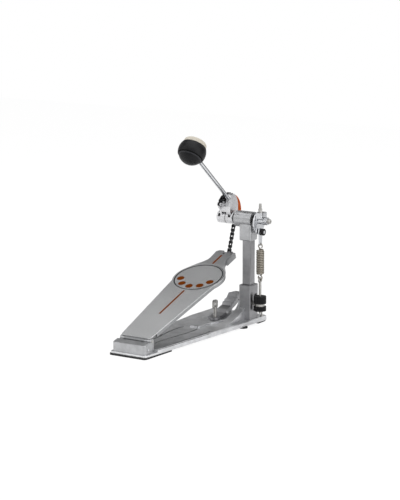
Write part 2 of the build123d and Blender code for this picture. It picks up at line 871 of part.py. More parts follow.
# ---------------------------------------------------------------- beater holder
rod_plane = Plane(origin=rod_end, x_dir=(1, 0, 0), z_dir=rod_direction)
with BuildPart() as beater_holder:
    with BuildSketch(side_plane(collar_split + 0.15)):
        with Locations((shaft_y, shaft_z)):
            Circle(collar_radius)
    extrude(amount=collar_right - collar_split - 0.15)
    chamfer(beater_holder.edges().group_by(Axis.X)[-1], 1.2)
    with BuildSketch(side_plane(holder_left)) as cheek:
        with BuildLine():
            Polyline(
                (holder_front_y, shaft_z + 12.6),
                (holder_front_y, shaft_z + 37),
                (holder_front_y + 4.5, shaft_z + 45),
                (holder_front_y + 11.5, shaft_z + 47.5),
                (holder_front_y + 18, shaft_z + 45),
                (holder_front_y + 26, shaft_z + 36),
                (holder_front_y + 29, shaft_z + 26),
                (holder_front_y + 29, shaft_z + 12),
                (shaft_y + 8, shaft_z + 2),
                (shaft_y - 8, shaft_z + 2),
                close=True,
            )
        make_face()
        fillet(cheek.vertices().group_by(Axis.Y)[0], 2)
        fillet(cheek.vertices().group_by(Axis.Z)[-1], 6)
    extrude(amount=holder_right - holder_left)
    # Inner part of the block, inside the cam's arc.
    with BuildSketch(side_plane(cam_left + 0.2)):
        with BuildLine():
            Polyline(
                (holder_front_y, shaft_z + 12.4),
                (holder_front_y, shaft_z + 30),
                (wheel_y, wheel_z + cam_inner_radius),
                (wheel_y + 16, wheel_z + 12),
                (wheel_y + 16, shaft_z + 12.4),
                close=True,
            )
        make_face()
        with Locations((wheel_y, wheel_z)):
            Circle(cam_inner_radius - 0.3, mode=Mode.INTERSECT)
    extrude(amount=holder_left - cam_left)
    with BuildSketch(rod_plane.offset(-40)):
        Circle(rod_radius + running_gap)
    extrude(amount=120, mode=Mode.SUBTRACT)
    with BuildSketch(side_plane(-60)):
        with Locations((shaft_y, shaft_z)):
            Circle(shaft_radius)
    extrude(amount=120, mode=Mode.SUBTRACT)
    add_set_screw_hole(holder_screw_x)
beater_holder.part.label = "beater holder"
export_step(beater_holder.part, "parts/beater_holder.step")

with BuildPart() as set_screws:
    for x in (hub_screw_x, holder_screw_x):
        plane = Plane(origin=(x, shaft_y, shaft_z), x_dir=(1, 0, 0), z_dir=set_screw_direction)
        with BuildSketch(plane.offset(shaft_radius)):
            Circle(1.9)
            RegularPolygon(1.0, 6, mode=Mode.SUBTRACT)
        extrude(amount=collar_radius - shaft_radius - 1.6)
set_screws.part.label = "hub set screws"
export_step(set_screws.part, "parts/set_screws.step")

# ---------------------------------------------------------------- roller chain
with BuildPart() as cam_chain_inner:
    for index in range(moving_links, moving_links + cam_links, 2):
        add_inner_link(wrapped_pin(index), wrapped_pin(index + 1))
cam_chain_inner.part.label = "inner links on the cam"
export_step(cam_chain_inner.part, "parts/cam_chain_inner.step")

with BuildPart() as cam_chain_outer:
    for index in range(moving_links + 1, moving_links + cam_links, 2):
        add_outer_link(wrapped_pin(index), wrapped_pin(index + 1))
cam_chain_outer.part.label = "outer links on the cam"
export_step(cam_chain_outer.part, "parts/cam_chain_outer.step")

with BuildPart() as chain_link_upper:
    add_outer_link(wrapped_pin(2), wrapped_pin(3))
chain_link_upper.part.label = "upper free link"
export_step(chain_link_upper.part, "parts/chain_link_upper.step")

with BuildPart() as chain_link_middle:
    add_inner_link(wrapped_pin(1), wrapped_pin(2))
chain_link_middle.part.label = "middle free link"
export_step(chain_link_middle.part, "parts/chain_link_middle.step")

with BuildPart() as chain_link_lower:
    add_outer_link(wrapped_pin(0), wrapped_pin(1))
chain_link_lower.part.label = "lower free link"
export_step(chain_link_lower.part, "parts/chain_link_lower.step")

with BuildPart() as chain_run_inner:
    for index in range(0, hanging_links, 2):
        add_inner_link(hanging_pin(index + 1), hanging_pin(index))
chain_run_inner.part.label = "inner links of the free run"
export_step(chain_run_inner.part, "parts/chain_run_inner.step")

with BuildPart() as chain_run_outer:
    for index in range(1, hanging_links, 2):
        add_outer_link(hanging_pin(index + 1), hanging_pin(index))
chain_run_outer.part.label = "outer links of the free run"
export_step(chain_run_outer.part, "parts/chain_run_outer.step")

last_pin = hanging_pin(hanging_links)
shackle_length = free_length - hanging_links * link_pitch
with BuildPart() as chain_shackle:
    for start in (chain_x - outer_plate_out, chain_x + outer_plate_in):
        with BuildSketch(link_frame((toe_pin_y, toe_pin_z), last_pin, start)):
            with Locations((0.6, 0)):
                Rectangle(shackle_length + 2 * plate_half_height - 1.2, 2 * plate_half_height)
            with Locations((-shackle_length / 2, 0)):
                RectangleRounded(
                    2 * (toe_pin_radius + toe_eye_along) + 3,
                    2 * (toe_pin_radius + toe_eye_across) + 3,
                    2,
                )
                RectangleRounded(
                    2 * (toe_pin_radius + toe_eye_along),
                    2 * (toe_pin_radius + toe_eye_across),
                    2,
                    mode=Mode.SUBTRACT,
                )
        extrude(amount=outer_plate_out - outer_plate_in)
    with BuildSketch(link_frame((toe_pin_y, toe_pin_z), last_pin, chain_x - link_pin_half)):
        with Locations((shackle_length / 2, 0)):
            Circle(link_pin_radius)
    extrude(amount=2 * link_pin_half)
chain_shackle.part.label = "toe shackle"
export_step(chain_shackle.part, "parts/chain_shackle.step")

# Pin that holds the chain's last link to the cam.
with BuildPart() as chain_anchor:
    with BuildSketch(side_plane(chain_x - cam_groove_half - 0.3)):
        with Locations(far_pin):
            Circle(link_pin_radius)
    extrude(amount=2 * cam_groove_half + 0.6)
chain_anchor.part.label = "chain anchor pin"
export_step(chain_anchor.part, "parts/chain_anchor.step")

# ---------------------------------------------------------------- beater
with BuildPart() as beater_rod:
    with BuildSketch(rod_plane):
        Circle(rod_radius)
    extrude(amount=rod_inside_holder + rod_to_ball + 12)
    chamfer(beater_rod.edges().group_by(Axis.Z)[0], 0.6)
beater_rod.part.label = "beater rod"
export_step(beater_rod.part, "parts/beater_rod.step")

ball_plane = Plane(origin=ball_centre, x_dir=(1, 0, 0), z_dir=rod_direction)
ball_axis = Axis(origin=ball_centre, direction=strike_direction)
felt_ring = math.sqrt(ball_radius**2 - felt_face**2)
step_s = -10.0
step_r = math.sqrt(ball_radius**2 - step_s**2)
lower_r = math.sqrt(ball_lower_radius**2 - step_s**2)
with BuildPart() as beater_head:
    with BuildSketch(ball_plane):
        with BuildLine():
            ThreePointArc(
                (felt_ring, felt_face),
                (ball_radius, 0),
                (step_r, step_s),
            )
            Line((step_r, step_s), (lower_r, step_s))
            ThreePointArc(
                (lower_r, step_s),
                (ball_lower_radius * math.sqrt(0.5), -ball_lower_radius * math.sqrt(0.5)),
                (0, -ball_lower_radius),
            )
            Line((0, -ball_lower_radius), (0, felt_face))
            Line((0, felt_face), (felt_ring, felt_face))
        make_face()
    revolve(axis=ball_axis)
    with BuildSketch(rod_plane):
        Circle(rod_radius)
    extrude(amount=rod_inside_holder + rod_to_ball + 12, mode=Mode.SUBTRACT)
beater_head.part.label = "beater head"
export_step(beater_head.part, "parts/beater_head.step")

with BuildPart() as felt_pad:
    with BuildSketch(ball_plane):
        with BuildLine():
            Polyline((0, felt_face), (felt_radius, felt_face), (felt_radius - 0.4, felt_face + 5))
            Spline(
                (felt_radius - 0.4, felt_face + 5),
                (felt_edge_radius, felt_face + felt_thickness - 1.6),
                (0, felt_face + felt_thickness),
                tangents=[(-0.1, 1), (-1, 0)],
            )
            Line((0, felt_face + felt_thickness), (0, felt_face))
        make_face()
    revolve(axis=ball_axis)
felt_pad.part.label = "felt pad"
export_step(felt_pad.part, "parts/felt_pad.step")

# ---------------------------------------------------------------- spring lever
with BuildPart() as spring_disc:
    with BuildSketch(side_plane(disc_left)):
        with Locations((shaft_y + disc_offset_y, shaft_z + disc_offset_z)):
            Circle(disc_radius)
        with Locations((shaft_y, shaft_z)):
            Circle(12.5)
            Circle(shaft_radius, mode=Mode.SUBTRACT)
    extrude(amount=disc_right - disc_left)
    chamfer(spring_disc.faces().sort_by(Axis.X)[-1].edges(), 0.6)
spring_disc.part.label = "eccentric spring disc"
export_step(spring_disc.part, "parts/spring_disc.step")

with BuildPart() as spring_lever:
    with BuildSketch(side_plane(disc_right)):
        with Locations((shaft_y, shaft_z)):
            Circle(10)
    extrude(amount=lever_hub_right - disc_right)
    with BuildSketch(side_plane(lever_hub_right)):
        with Locations((shaft_y, shaft_z)):
            Circle(6.75)
    extrude(amount=clamp_right - lever_hub_right)
    # Arm down to the spring pin.
    with BuildSketch(side_plane(disc_right + 0.1)) as arm:
        with BuildLine():
            Polyline(
                (shaft_y - 8, shaft_z),
                (spring_y - 5.5, spring_pin_z),
                (spring_y + 5.5, spring_pin_z),
                (shaft_y + 8, shaft_z),
                close=True,
            )
        make_face()
        with Locations((spring_y, spring_pin_z)):
            Circle(5.5)
    extrude(amount=lever_hub_right - disc_right - 0.1)
    # Split clamp block on top.
    with BuildSketch(Plane.XY.offset(shaft_z + 5)):
        with Locations(((disc_right + 0.1 + clamp_right) / 2, shaft_y + 1)):
            RectangleRounded(clamp_right - disc_right - 0.1, 22, 2.5)
    extrude(amount=clamp_top - shaft_z - 5)
    fillet(spring_lever.edges().group_by(Axis.Z)[-1], 1.5)
    with BuildSketch(side_plane(40)):
        with Locations((shaft_y, shaft_z)):
            Circle(shaft_radius)
        with Locations((shaft_y - 5, shaft_z + 10)):
            Rectangle(1.6, 20)
    extrude(amount=80, mode=Mode.SUBTRACT)
spring_lever.part.label = "spring lever"
export_step(spring_lever.part, "parts/spring_lever.step")

with BuildPart() as spring_pin:
    with BuildSketch(side_plane(lever_hub_right)):
        with Locations((spring_y, spring_pin_z)):
            Circle(spring_pin_radius)
    extrude(amount=7.4)
    with BuildSketch(side_plane(lever_hub_right + 7.2)):
        with Locations((spring_y, spring_pin_z)):
            Circle(roller_cap_radius)
    extrude(amount=6)
    chamfer(spring_pin.edges().group_by(Axis.X)[-1], 0.8)
spring_pin.part.label = "spring pin with cap"
export_step(spring_pin.part, "parts/spring_pin.step")

with BuildPart() as lever_stud:
    with BuildSketch(Plane.XY.offset(clamp_top)):
        with Locations((lever_hub_right - 1, shaft_y + 5.5)):
            Circle(2.5)
    extrude(amount=15.6)
    with BuildSketch(Plane.XY.offset(clamp_top)):
        with Locations((lever_hub_right - 1, shaft_y + 5.5)):
            RegularPolygon(4.4, 6)
    extrude(amount=5.5)
    chamfer(lever_stud.edges().group_by(Axis.Z)[-1], 0.5)
lever_stud.part.label = "clamp stud and nut"
export_step(lever_stud.part, "parts/lever_stud.step")

with BuildPart() as shaft_nut:
    with BuildSketch(side_plane(clamp_right)):
        with Locations((shaft_y, shaft_z)):
            RegularPolygon(7.6, 6)
            Circle(shaft_radius, mode=Mode.SUBTRACT)
    extrude(amount=nut_width)
shaft_nut.part.label = "shaft nut"
export_step(shaft_nut.part, "parts/shaft_nut.step")

# ---------------------------------------------------------------- spring and tension bolt
loop_low_z = spring_bottom - 4.0
eye_z = loop_low_z - spring_loop_radius - spring_loop_rest
hole_z = strap_bottom + 3.4
loop_high_z = hole_z - spring_loop_rest - spring_loop_radius
with BuildPart() as spring_strap:
    with BuildSketch(side_plane(spring_x - strap_thickness / 2)):
        with Locations((spring_y, spring_pin_z)):
            Circle(spring_pin_radius + spring_pin_clearance + 2.6)
        with BuildLine():
            Polyline(
                (spring_y - 4.5, strap_bottom + 3),
                (spring_y - 6.2, spring_pin_z),
                (spring_y + 6.2, spring_pin_z),
                (spring_y + 4.5, strap_bottom + 3),
                close=True,
            )
        make_face()
        with Locations((spring_y, hole_z)):
            Circle(4.5)
        with Locations((spring_y, hole_z)):
            Circle(2.2, mode=Mode.SUBTRACT)
        with Locations((spring_y, spring_pin_z)):
            Circle(spring_pin_radius + spring_pin_clearance, mode=Mode.SUBTRACT)
    extrude(amount=strap_thickness)
spring_strap.part.label = "spring strap"
export_step(spring_strap.part, "parts/spring_strap.step")

with BuildPart() as spring:
    with BuildSketch(Plane.XY.offset(spring_bottom)):
        with Locations((spring_x, spring_y)):
            Circle(spring_radius)
    extrude(amount=spring_top - spring_bottom)
    chamfer(spring.edges(), 1.2)
    for middle in (loop_low_z, loop_high_z):
        loop_plane = Plane(
            origin=(spring_x, spring_y, middle), x_dir=(1, 0, 0), z_dir=(0, -1, 0)
        )
        with BuildSketch(loop_plane):
            Circle(spring_loop_radius + spring_wire)
            Circle(spring_loop_radius - spring_wire, mode=Mode.SUBTRACT)
        extrude(amount=spring_loop_half_width, both=True)
    for start in (loop_low_z + spring_loop_radius - 0.6, spring_top - 0.1):
        with BuildSketch(Plane.XY.offset(start)):
            with Locations((spring_x, spring_y)):
                Circle(spring_wire)
        extrude(amount=1.2)
spring.part.label = "return spring"
export_step(spring.part, "parts/spring.step")

with BuildPart() as tension_bolt:
    with BuildSketch(Plane(origin=(spring_x, spring_y, eye_z), x_dir=(0, 1, 0), z_dir=(1, 0, 0))):
        Circle(eye_radius + eye_wire)
        Circle(eye_radius - eye_wire, mode=Mode.SUBTRACT)
    extrude(amount=eye_wire, both=True)
    with BuildSketch(Plane.XY.offset(tension_bolt_bottom)):
        with Locations((spring_x, spring_y)):
            Circle(tension_bolt_radius)
    extrude(amount=eye_z - eye_radius - tension_bolt_bottom)
tension_bolt.part.label = "tension eye bolt"
export_step(tension_bolt.part, "parts/tension_bolt.step")


def add_knob(start, height):
    """Knurled knob: a round nut with shallow flutes, bored for the bolt."""
    with BuildSketch(Plane.XY.offset(start)) as round_nut:
        with Locations((spring_x, spring_y)):
            Circle(knob_radius)
            Circle(tension_bolt_radius, mode=Mode.SUBTRACT)
            with PolarLocations(knob_radius + 0.5, 16):
                Circle(1.3, mode=Mode.SUBTRACT)
    extrude(round_nut.sketch, amount=height)


with BuildPart() as upper_knob:
    add_knob(bracket_top, upper_knob_height)
upper_knob.part.label = "upper tension knob"
export_step(upper_knob.part, "parts/upper_knob.step")

with BuildPart() as lower_knob:
    add_knob(bracket_bottom - lower_knob_height, lower_knob_height)
lower_knob.part.label = "lower locking knob"
export_step(lower_knob.part, "parts/lower_knob.step")

with BuildPart() as spring_bracket:
    with BuildSketch(Plane.XY.offset(bracket_bottom)):
        with Locations(((post_x + post_block_width / 2 - 3 + spring_x) / 2, post_y + 2)):
            Rectangle(spring_x - post_x - post_block_width / 2 + 3, 14.6)
        with Locations((spring_x, spring_y)):
            Circle(9)
            Circle(tension_bolt_radius, mode=Mode.SUBTRACT)
    extrude(amount=bracket_top - bracket_bottom)
spring_bracket.part.label = "spring bracket"
export_step(spring_bracket.part, "parts/spring_bracket.step")

# ---------------------------------------------------------------- hoop clamp
with BuildPart() as clamp_jaw:
    with BuildSketch(side_plane(jaw_left)) as jaw_side:
        with BuildLine():
            Polyline(
                (252, platform_top + 0.6),
                (270, platform_top + 0.6),
                (jaw_pivot_y + 10, 18),
                (jaw_pivot_y + 18, 27),
                (jaw_pivot_y + 30, 31),
                (316, 36),
                (316, jaw_pad_bottom + 3.5),
                (jaw_back_y, jaw_pad_bottom + 3.5),
                (jaw_back_y, 48),
                (jaw_back_y - 5, 50.5),
                (316, 52),
                (311, 47),
                (306, 42.5),
                (301, 42.5),
                (299, 38.5),
                (294, 38.5),
                (291, 33),
                (284, 31),
                (jaw_pivot_y, 29),
                (268, 23),
                (252, 21),
                close=True,
            )
        make_face()
    extrude(amount=jaw_right - jaw_left)
    # Lug for the wing screw.
    with BuildSketch(Plane.XY.offset(platform_top + 0.6)):
        with Locations((screw_x, screw_y)):
            Circle(9)
        with Locations((screw_x - 5, screw_y + 8)):
            Rectangle(20, 20)
    extrude(amount=4.6)
    with BuildSketch(Plane.XY.offset(deck_top)):
        with Locations((screw_x, screw_y)):
            Circle(screw_radius + 1.1)
    extrude(amount=30, mode=Mode.SUBTRACT)
    with BuildSketch(side_plane(-60)):
        with Locations((jaw_pivot_y, jaw_pivot_z)):
            Circle(jaw_pin_radius + running_gap)
    extrude(amount=120, mode=Mode.SUBTRACT)
clamp_jaw.part.label = "hoop clamp jaw"
export_step(clamp_jaw.part, "parts/clamp_jaw.step")

with BuildPart() as jaw_pad:
    with BuildSketch(Plane.XY.offset(jaw_pad_bottom)):
        with Locations(((jaw_left + jaw_right) / 2, (317 + jaw_back_y) / 2)):
            RectangleRounded(jaw_right - jaw_left - 2, jaw_back_y - 317 - 1, 3)
    extrude(amount=3.5)
jaw_pad.part.label = "jaw rubber pad"
export_step(jaw_pad.part, "parts/jaw_pad.step")

with BuildPart() as jaw_pivot:
    with BuildSketch(side_plane(jaw_left - 6)):
        with Locations((jaw_pivot_y, jaw_pivot_z)):
            Circle(jaw_pin_radius)
    extrude(amount=jaw_right - jaw_left + 12)
jaw_pivot.part.label = "jaw pivot pin"
export_step(jaw_pivot.part, "parts/jaw_pivot.step")

with BuildPart() as jaw_lugs:
    for start in (jaw_left - 5.4, jaw_right + 0.4):
        with BuildSketch(side_plane(start)):
            with Locations((jaw_pivot_y, jaw_pivot_z)):
                Circle(6)
            with Locations((jaw_pivot_y, (jaw_pivot_z + platform_top) / 2)):
                Rectangle(12, jaw_pivot_z - platform_top)
            with Locations((jaw_pivot_y, jaw_pivot_z)):
                Circle(jaw_pin_radius, mode=Mode.SUBTRACT)
        extrude(amount=5)
jaw_lugs.part.label = "jaw pivot lugs"
export_step(jaw_lugs.part, "parts/jaw_lugs.step")

with BuildPart() as wing_screw:
    with BuildSketch(Plane.XY.offset(platform_top + 0.1)):
        with Locations((screw_x, screw_y)):
            Circle(screw_radius)
    extrude(amount=screw_loop_top - 14 - platform_top)
    with BuildSketch(side_plane(screw_x)):
        with Locations((screw_y, screw_loop_top - 8.5)):
            RectangleRounded(15, 17, 5)
            RectangleRounded(7, 9, 3, mode=Mode.SUBTRACT)
    extrude(amount=1.8, both=True)
wing_screw.part.label = "wing screw"
export_step(wing_screw.part, "parts/wing_screw.step")
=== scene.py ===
# %% [markdown]
# A bass drum pedal turns the push of a foot into the swing of a beater. Its solid pieces come from a
# CAD model, already in place and already jointed. Here each of them gets the finish of the real
# metal, rubber, plastic or felt, and the pieces that are too fine for CAD, such as the spring's
# coils, the chain's side plates and the screw threads, are worked out as surfaces with numpy.

import json
import math

import bmesh
import bpy
import numpy as np
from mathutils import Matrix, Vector


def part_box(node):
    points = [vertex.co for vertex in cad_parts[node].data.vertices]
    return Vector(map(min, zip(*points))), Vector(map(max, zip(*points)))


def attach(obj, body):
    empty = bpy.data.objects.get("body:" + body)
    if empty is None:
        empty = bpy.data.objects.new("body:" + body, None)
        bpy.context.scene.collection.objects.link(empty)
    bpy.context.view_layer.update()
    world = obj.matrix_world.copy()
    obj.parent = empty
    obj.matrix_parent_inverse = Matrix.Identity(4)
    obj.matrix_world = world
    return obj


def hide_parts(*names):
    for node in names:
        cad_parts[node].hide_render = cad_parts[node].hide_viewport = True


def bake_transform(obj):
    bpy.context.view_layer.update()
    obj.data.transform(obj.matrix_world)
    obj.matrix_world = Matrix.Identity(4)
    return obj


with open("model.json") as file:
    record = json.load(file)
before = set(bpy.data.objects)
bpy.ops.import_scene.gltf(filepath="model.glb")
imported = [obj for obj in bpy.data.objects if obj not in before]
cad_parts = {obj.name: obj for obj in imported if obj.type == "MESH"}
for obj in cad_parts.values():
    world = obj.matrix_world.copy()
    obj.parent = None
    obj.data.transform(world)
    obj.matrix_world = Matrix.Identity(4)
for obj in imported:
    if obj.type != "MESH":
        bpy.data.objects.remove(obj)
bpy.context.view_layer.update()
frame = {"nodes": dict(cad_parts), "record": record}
nodes = frame["nodes"]
print("CAD pieces:", len(nodes))


# %% [markdown]
# A procedural finish is a small formula. Shader nodes can be written as Python expressions if a
# class wraps a socket and gives it the usual operators, so that 1 - mask adds its Math nodes by
# itself. The reflected operators are there because Python tries the plain number's side first.

# %% Sockets that can be added and multiplied
class Wire:
    """One output socket of a shader tree, with arithmetic that adds Math nodes."""

    def __init__(self, tree, socket):
        self.tree = tree
        self.socket = socket

    def math(self, operation, *others):
        made = add_node(self.tree, "ShaderNodeMath", {"operation": operation})
        for place, value in enumerate((self, *others)):
            plug(self.tree, made.inputs[place], value)
        return Wire(self.tree, made.outputs[0])

    def __add__(self, other):
        return self.math("ADD", other)

    __radd__ = __add__

    def __mul__(self, other):
        return self.math("MULTIPLY", other)

    __rmul__ = __mul__

    def __sub__(self, other):
        return self.math("SUBTRACT", other)

    def __rsub__(self, other):
        return (self * -1.0) + other

    def __lt__(self, other):
        return self.math("LESS_THAN", other)

    def __gt__(self, other):
        return self.math("GREATER_THAN", other)

    def __abs__(self):
        return self.math("ABSOLUTE")

    def band(self, low, high):
        """0 below low, 1 above high, a smooth step between."""
        made = add_node(
            self.tree,
            "ShaderNodeMapRange",
            {"interpolation_type": "SMOOTHSTEP"},
            {"Value": self, "From Min": low, "From Max": high},
        )
        return Wire(self.tree, made.outputs["Result"])


def plug(tree, target, value):
    """Joins a wire to a socket, or writes a plain value on it."""
    if isinstance(value, Wire):
        tree.links.new(value.socket, target)
    else:
        target.default_value = value


def add_node(tree, kind, settings=None, values=None):
    """Any node: its settings first, then the values or wires of its sockets."""
    made = tree.nodes.new(kind)
    for name, value in (settings or {}).items():
        setattr(made, name, value)
    for name, value in (values or {}).items():
        plug(tree, made.inputs[name], value)
    return made


def split(tree, where):
    """The x, y and z of a point or a direction, as three wires."""
    made = add_node(tree, "ShaderNodeSeparateXYZ", None, {"Vector": where})
    return [Wire(tree, made.outputs[axis]) for axis in range(3)]


print("sockets take +, -, *, <, > and abs()")


# %% [markdown]
# Every finish starts alike: the numbers that are the same all over go straight onto the shader, and
# a formula that changes over the surface reads Object coordinates, which travel with the piece, so
# that no pattern slides when the pedal moves. Cloudy noise gives metal and rubber their unevenness.
# An image would do it too, but noise has no seams, and it is sharp from near and from far.

# %% Start a finish, or open one again to paint a mark on it
def colour(red, green, blue):
    return (red, green, blue, 1.0)


def shade(tone, factor, lift=0.0):
    """A tone made darker or paler, and never past white."""
    return colour(*(min(1.0, part * factor + lift) for part in tone))


def start_finish(name, base, rough, metal=0.0, **fixed):
    """A material with its shader's fixed numbers set on the shader itself."""
    material = bpy.data.materials.new(name)
    material.use_nodes = True
    tree = material.node_tree
    shader = tree.nodes["Principled BSDF"]
    shader.inputs["Base Color"].default_value = colour(*base)
    shader.inputs["Roughness"].default_value = rough
    shader.inputs["Metallic"].default_value = metal
    for socket, value in fixed.items():
        shader.inputs[socket.replace("_", " ")].default_value = value
    where = Wire(tree, add_node(tree, "ShaderNodeTexCoord").outputs["Object"])
    return material, tree, shader, where


def open_finish(material):
    """A finished material's tree, its shader, each point's place, and its colour so far."""
    tree = material.node_tree
    shader = tree.nodes["Principled BSDF"]
    where = Wire(tree, add_node(tree, "ShaderNodeTexCoord").outputs["Object"])
    painted = Wire(tree, shader.inputs["Base Color"].links[0].from_socket)
    return tree, shader, where, painted


print("a finish can be started and opened again")

# %% Grain, mixed colours and bumps
# A Mix node has sockets of one name for numbers, vectors and colours, so these are found by place.
mix_first, mix_second, mix_result = 6, 7, 2


def grain(tree, where, scale, detail=4.0, rough=0.55, stretch=(1.0, 1.0, 1.0)):
    """Cloudy noise from 0 to 1, about scale clouds to the metre; a stretch below 1 draws the
    clouds out along that axis, for a brushed look."""
    spread = add_node(tree, "ShaderNodeMapping", None, {"Vector": where, "Scale": stretch})
    noise = add_node(
        tree,
        "ShaderNodeTexNoise",
        None,
        {
            "Vector": Wire(tree, spread.outputs[0]),
            "Scale": scale,
            "Detail": detail,
            "Roughness": rough,
        },
    )
    return Wire(tree, noise.outputs["Fac"])


def blend_colours(tree, mask, first, second):
    """A colour that goes from first to second as mask goes from 0 to 1."""
    mixed = add_node(tree, "ShaderNodeMix", {"data_type": "RGBA"})
    plug(tree, mixed.inputs["Factor"], mask)
    plug(tree, mixed.inputs[mix_first], first)
    plug(tree, mixed.inputs[mix_second], second)
    return Wire(tree, mixed.outputs[mix_result])


def bumps(tree, shader, height, distance):
    """Raises the surface by height times distance, in metres."""
    made = add_node(
        tree,
        "ShaderNodeBump",
        None,
        {"Height": height, "Distance": distance, "Strength": 1.0},
    )
    plug(tree, shader.inputs["Normal"], Wire(tree, made.outputs[0]))


print("grain, mixed colours and bumps are ready")


# %% [markdown]
# The floor plate, the post and the clamp are sand castings in aluminium. A casting is never quite
# even: its skin has a fine grain, and it is a little duller in the hollows where hands and polish
# do not reach. Two noises at different sizes give the grain and the slow change in roughness. The
# floor plate is painted palest, as painted light, and the post and the jaw darkest, as painted
# shade, though all three are the same aluminium. The hub and the beater's holder are plated over a
# casting, so they shine less than the rod does.

# %% Cast aluminium
cloud_scale = 60.0
gloss_change = 0.12
casting_skin = 0.0001
plated_skin = 0.00003


def cast_aluminium(name, tone, rough, grain_scale, grain_depth):
    """Slow clouds shift the tone and the gloss a little, and a fine grain raises the skin."""
    material, tree, shader, where = start_finish(name, tone, rough, metal=1.0)
    cloud = grain(tree, where, cloud_scale, detail=3.0)
    fine = grain(tree, where, grain_scale, detail=2.0, rough=0.7)
    painted = blend_colours(tree, cloud.band(0.3, 0.7), shade(tone, 0.86), shade(tone, 1.06))
    plug(tree, shader.inputs["Base Color"], painted)
    plug(tree, shader.inputs["Roughness"], cloud * gloss_change + (rough - gloss_change / 2))
    bumps(tree, shader, fine, grain_depth)
    return material


finishes = {
    "cast_aluminium": cast_aluminium(
        "cast aluminium", (0.46, 0.465, 0.475), 0.34, 900.0, casting_skin
    ),
    # painted light: the floor plate gets a paler tone than the other castings
    "deck": cast_aluminium(
        "floor plate aluminium", (0.78, 0.785, 0.80), 0.36, 900.0, casting_skin
    ),
    # painted shade: the post, and the jaw that shares its finish, get a darker tone
    "post": cast_aluminium("post aluminium", (0.31, 0.31, 0.32), 0.36, 900.0, casting_skin),
    "plated_casting": cast_aluminium(
        "plated casting", (0.67, 0.67, 0.685), 0.30, 700.0, plated_skin
    ),
}
print("made", list(finishes))


# %% [markdown]
# The footboard is blasted to a brighter, even grain so that a shoe neither sticks nor slips. A ring
# is cut round its playing spot, and the shade in its groove is painted as a dark line; a thin painted
# shadow of a rim lies outside it on one side. Two rust-brown stripes run up the middle. The board is
# painted paler toward the heel and darker toward the neck, and its sides are darker as painted shade.
# All of these are masks in one finish, so their edges stay sharp. Each needs the point's distance up
# the slope of the board, so the formula first turns y and z into along the board and above it.

# %% Where the footboard's marks are, in metres up its slope
board_low, board_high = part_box("footboard")
board_pitch = math.radians(18.4)
heel_y, heel_z = -0.010, 0.0346
top_skin = -0.002
ring_middle = 0.2208
ring_size = 0.0464
ring_half_width = 0.0012
rim_shadow_gap = 0.0029
rim_shadow_half_width = 0.0006
rim_shadow_from_x = 0.012
stripe_places = ((0.1245, 0.0445), (0.292, 0.0175))
stripe_half_width = 0.0021
# the board is painted paler toward the heel and darker toward the neck
pale_heel_until, pale_heel_run, pale_heel_strength = 0.20, 0.16, 0.75
neck_from, neck_run, neck_strength = 0.262, 0.02, 0.6
print("footboard from", tuple(board_low), "to", tuple(board_high))

# %% Paint the footboard
grit = (colour(0.34, 0.345, 0.355), colour(0.78, 0.785, 0.79))
pale_heel_tone = colour(0.72, 0.725, 0.73)
neck_tone = colour(0.36, 0.365, 0.375)
# painted shade: darker tones for the board's sides
painted_shade_side_tones = (colour(0.30, 0.305, 0.315), colour(0.40, 0.405, 0.41))
# painted shade for the ring's groove and painted shadow of the rim
painted_shade_line_tone = colour(0.02, 0.021, 0.023)
stripe_tone = colour(0.22, 0.045, 0.0)


def footboard_marks(tree, where):
    """The masks: on top, painted shade of the ring's groove, painted shadow of the rim, stripe, paler
    heel and darker neck. The ring is where the distance from its middle, by Pythagoras in the plane
    of the board, is near the ring's size."""
    x, y, z = split(tree, where)
    along = (y - heel_y) * math.cos(board_pitch) + (z - heel_z) * math.sin(board_pitch)
    above = (z - heel_z) * math.cos(board_pitch) - (y - heel_y) * math.sin(board_pitch)
    out = (x * x + (along - ring_middle) * (along - ring_middle)).math("SQRT")
    top = above > top_skin
    ring = (abs(out - ring_size) < ring_half_width) * top
    rim_shadow = (abs(out - ring_size - rim_shadow_gap) < rim_shadow_half_width) * (x > rim_shadow_from_x) * top
    lower, upper = [abs(along - place) < half_length for place, half_length in stripe_places]
    stripe = (lower + upper) * (abs(x) < stripe_half_width) * top
    pale_heel = (pale_heel_until - along).band(0.0, pale_heel_run) * top * pale_heel_strength
    neck = (along - neck_from).band(0.0, neck_run) * top * neck_strength
    return top, ring, rim_shadow, stripe, pale_heel, neck


def footboard_finish():
    """Each mask lays its own tone over the ones before it."""
    tone = (0.50, 0.505, 0.51)
    material, tree, shader, where = start_finish("blasted aluminium", tone, 0.4, metal=1.0)
    top, ring, rim_shadow, stripe, pale_heel, neck = footboard_marks(tree, where)
    speckle = grain(tree, where, 1100.0, detail=2.0, rough=0.7)
    cloud = grain(tree, where, 30.0, detail=3.0)
    blasted = blend_colours(tree, speckle.band(0.40, 0.60), *grit)
    # paler toward the heel, darker toward the neck
    bright = blend_colours(tree, pale_heel, blasted, pale_heel_tone)
    metal = blend_colours(tree, neck, bright, neck_tone)
    # The board's sides get darker tones, as painted shade.
    side = blend_colours(tree, cloud, *painted_shade_side_tones)
    with_shaded_sides = blend_colours(tree, top, side, metal)
    # The ring line is painted shade in its groove; the rim line is a painted shadow.
    ring_and_rim_shaded = blend_colours(tree, ring + rim_shadow * 0.9, with_shaded_sides, painted_shade_line_tone)
    striped = blend_colours(tree, stripe, ring_and_rim_shaded, stripe_tone)
    plug(tree, shader.inputs["Base Color"], striped)
    plug(tree, shader.inputs["Metallic"], 1.0 - stripe)
    plug(tree, shader.inputs["Roughness"], cloud * gloss_change + 0.38 + stripe * 0.2)
    bumps(tree, shader, speckle, 0.00006)
    return material


finishes["board_aluminium"] = footboard_finish()
print("made", finishes["board_aluminium"].name)


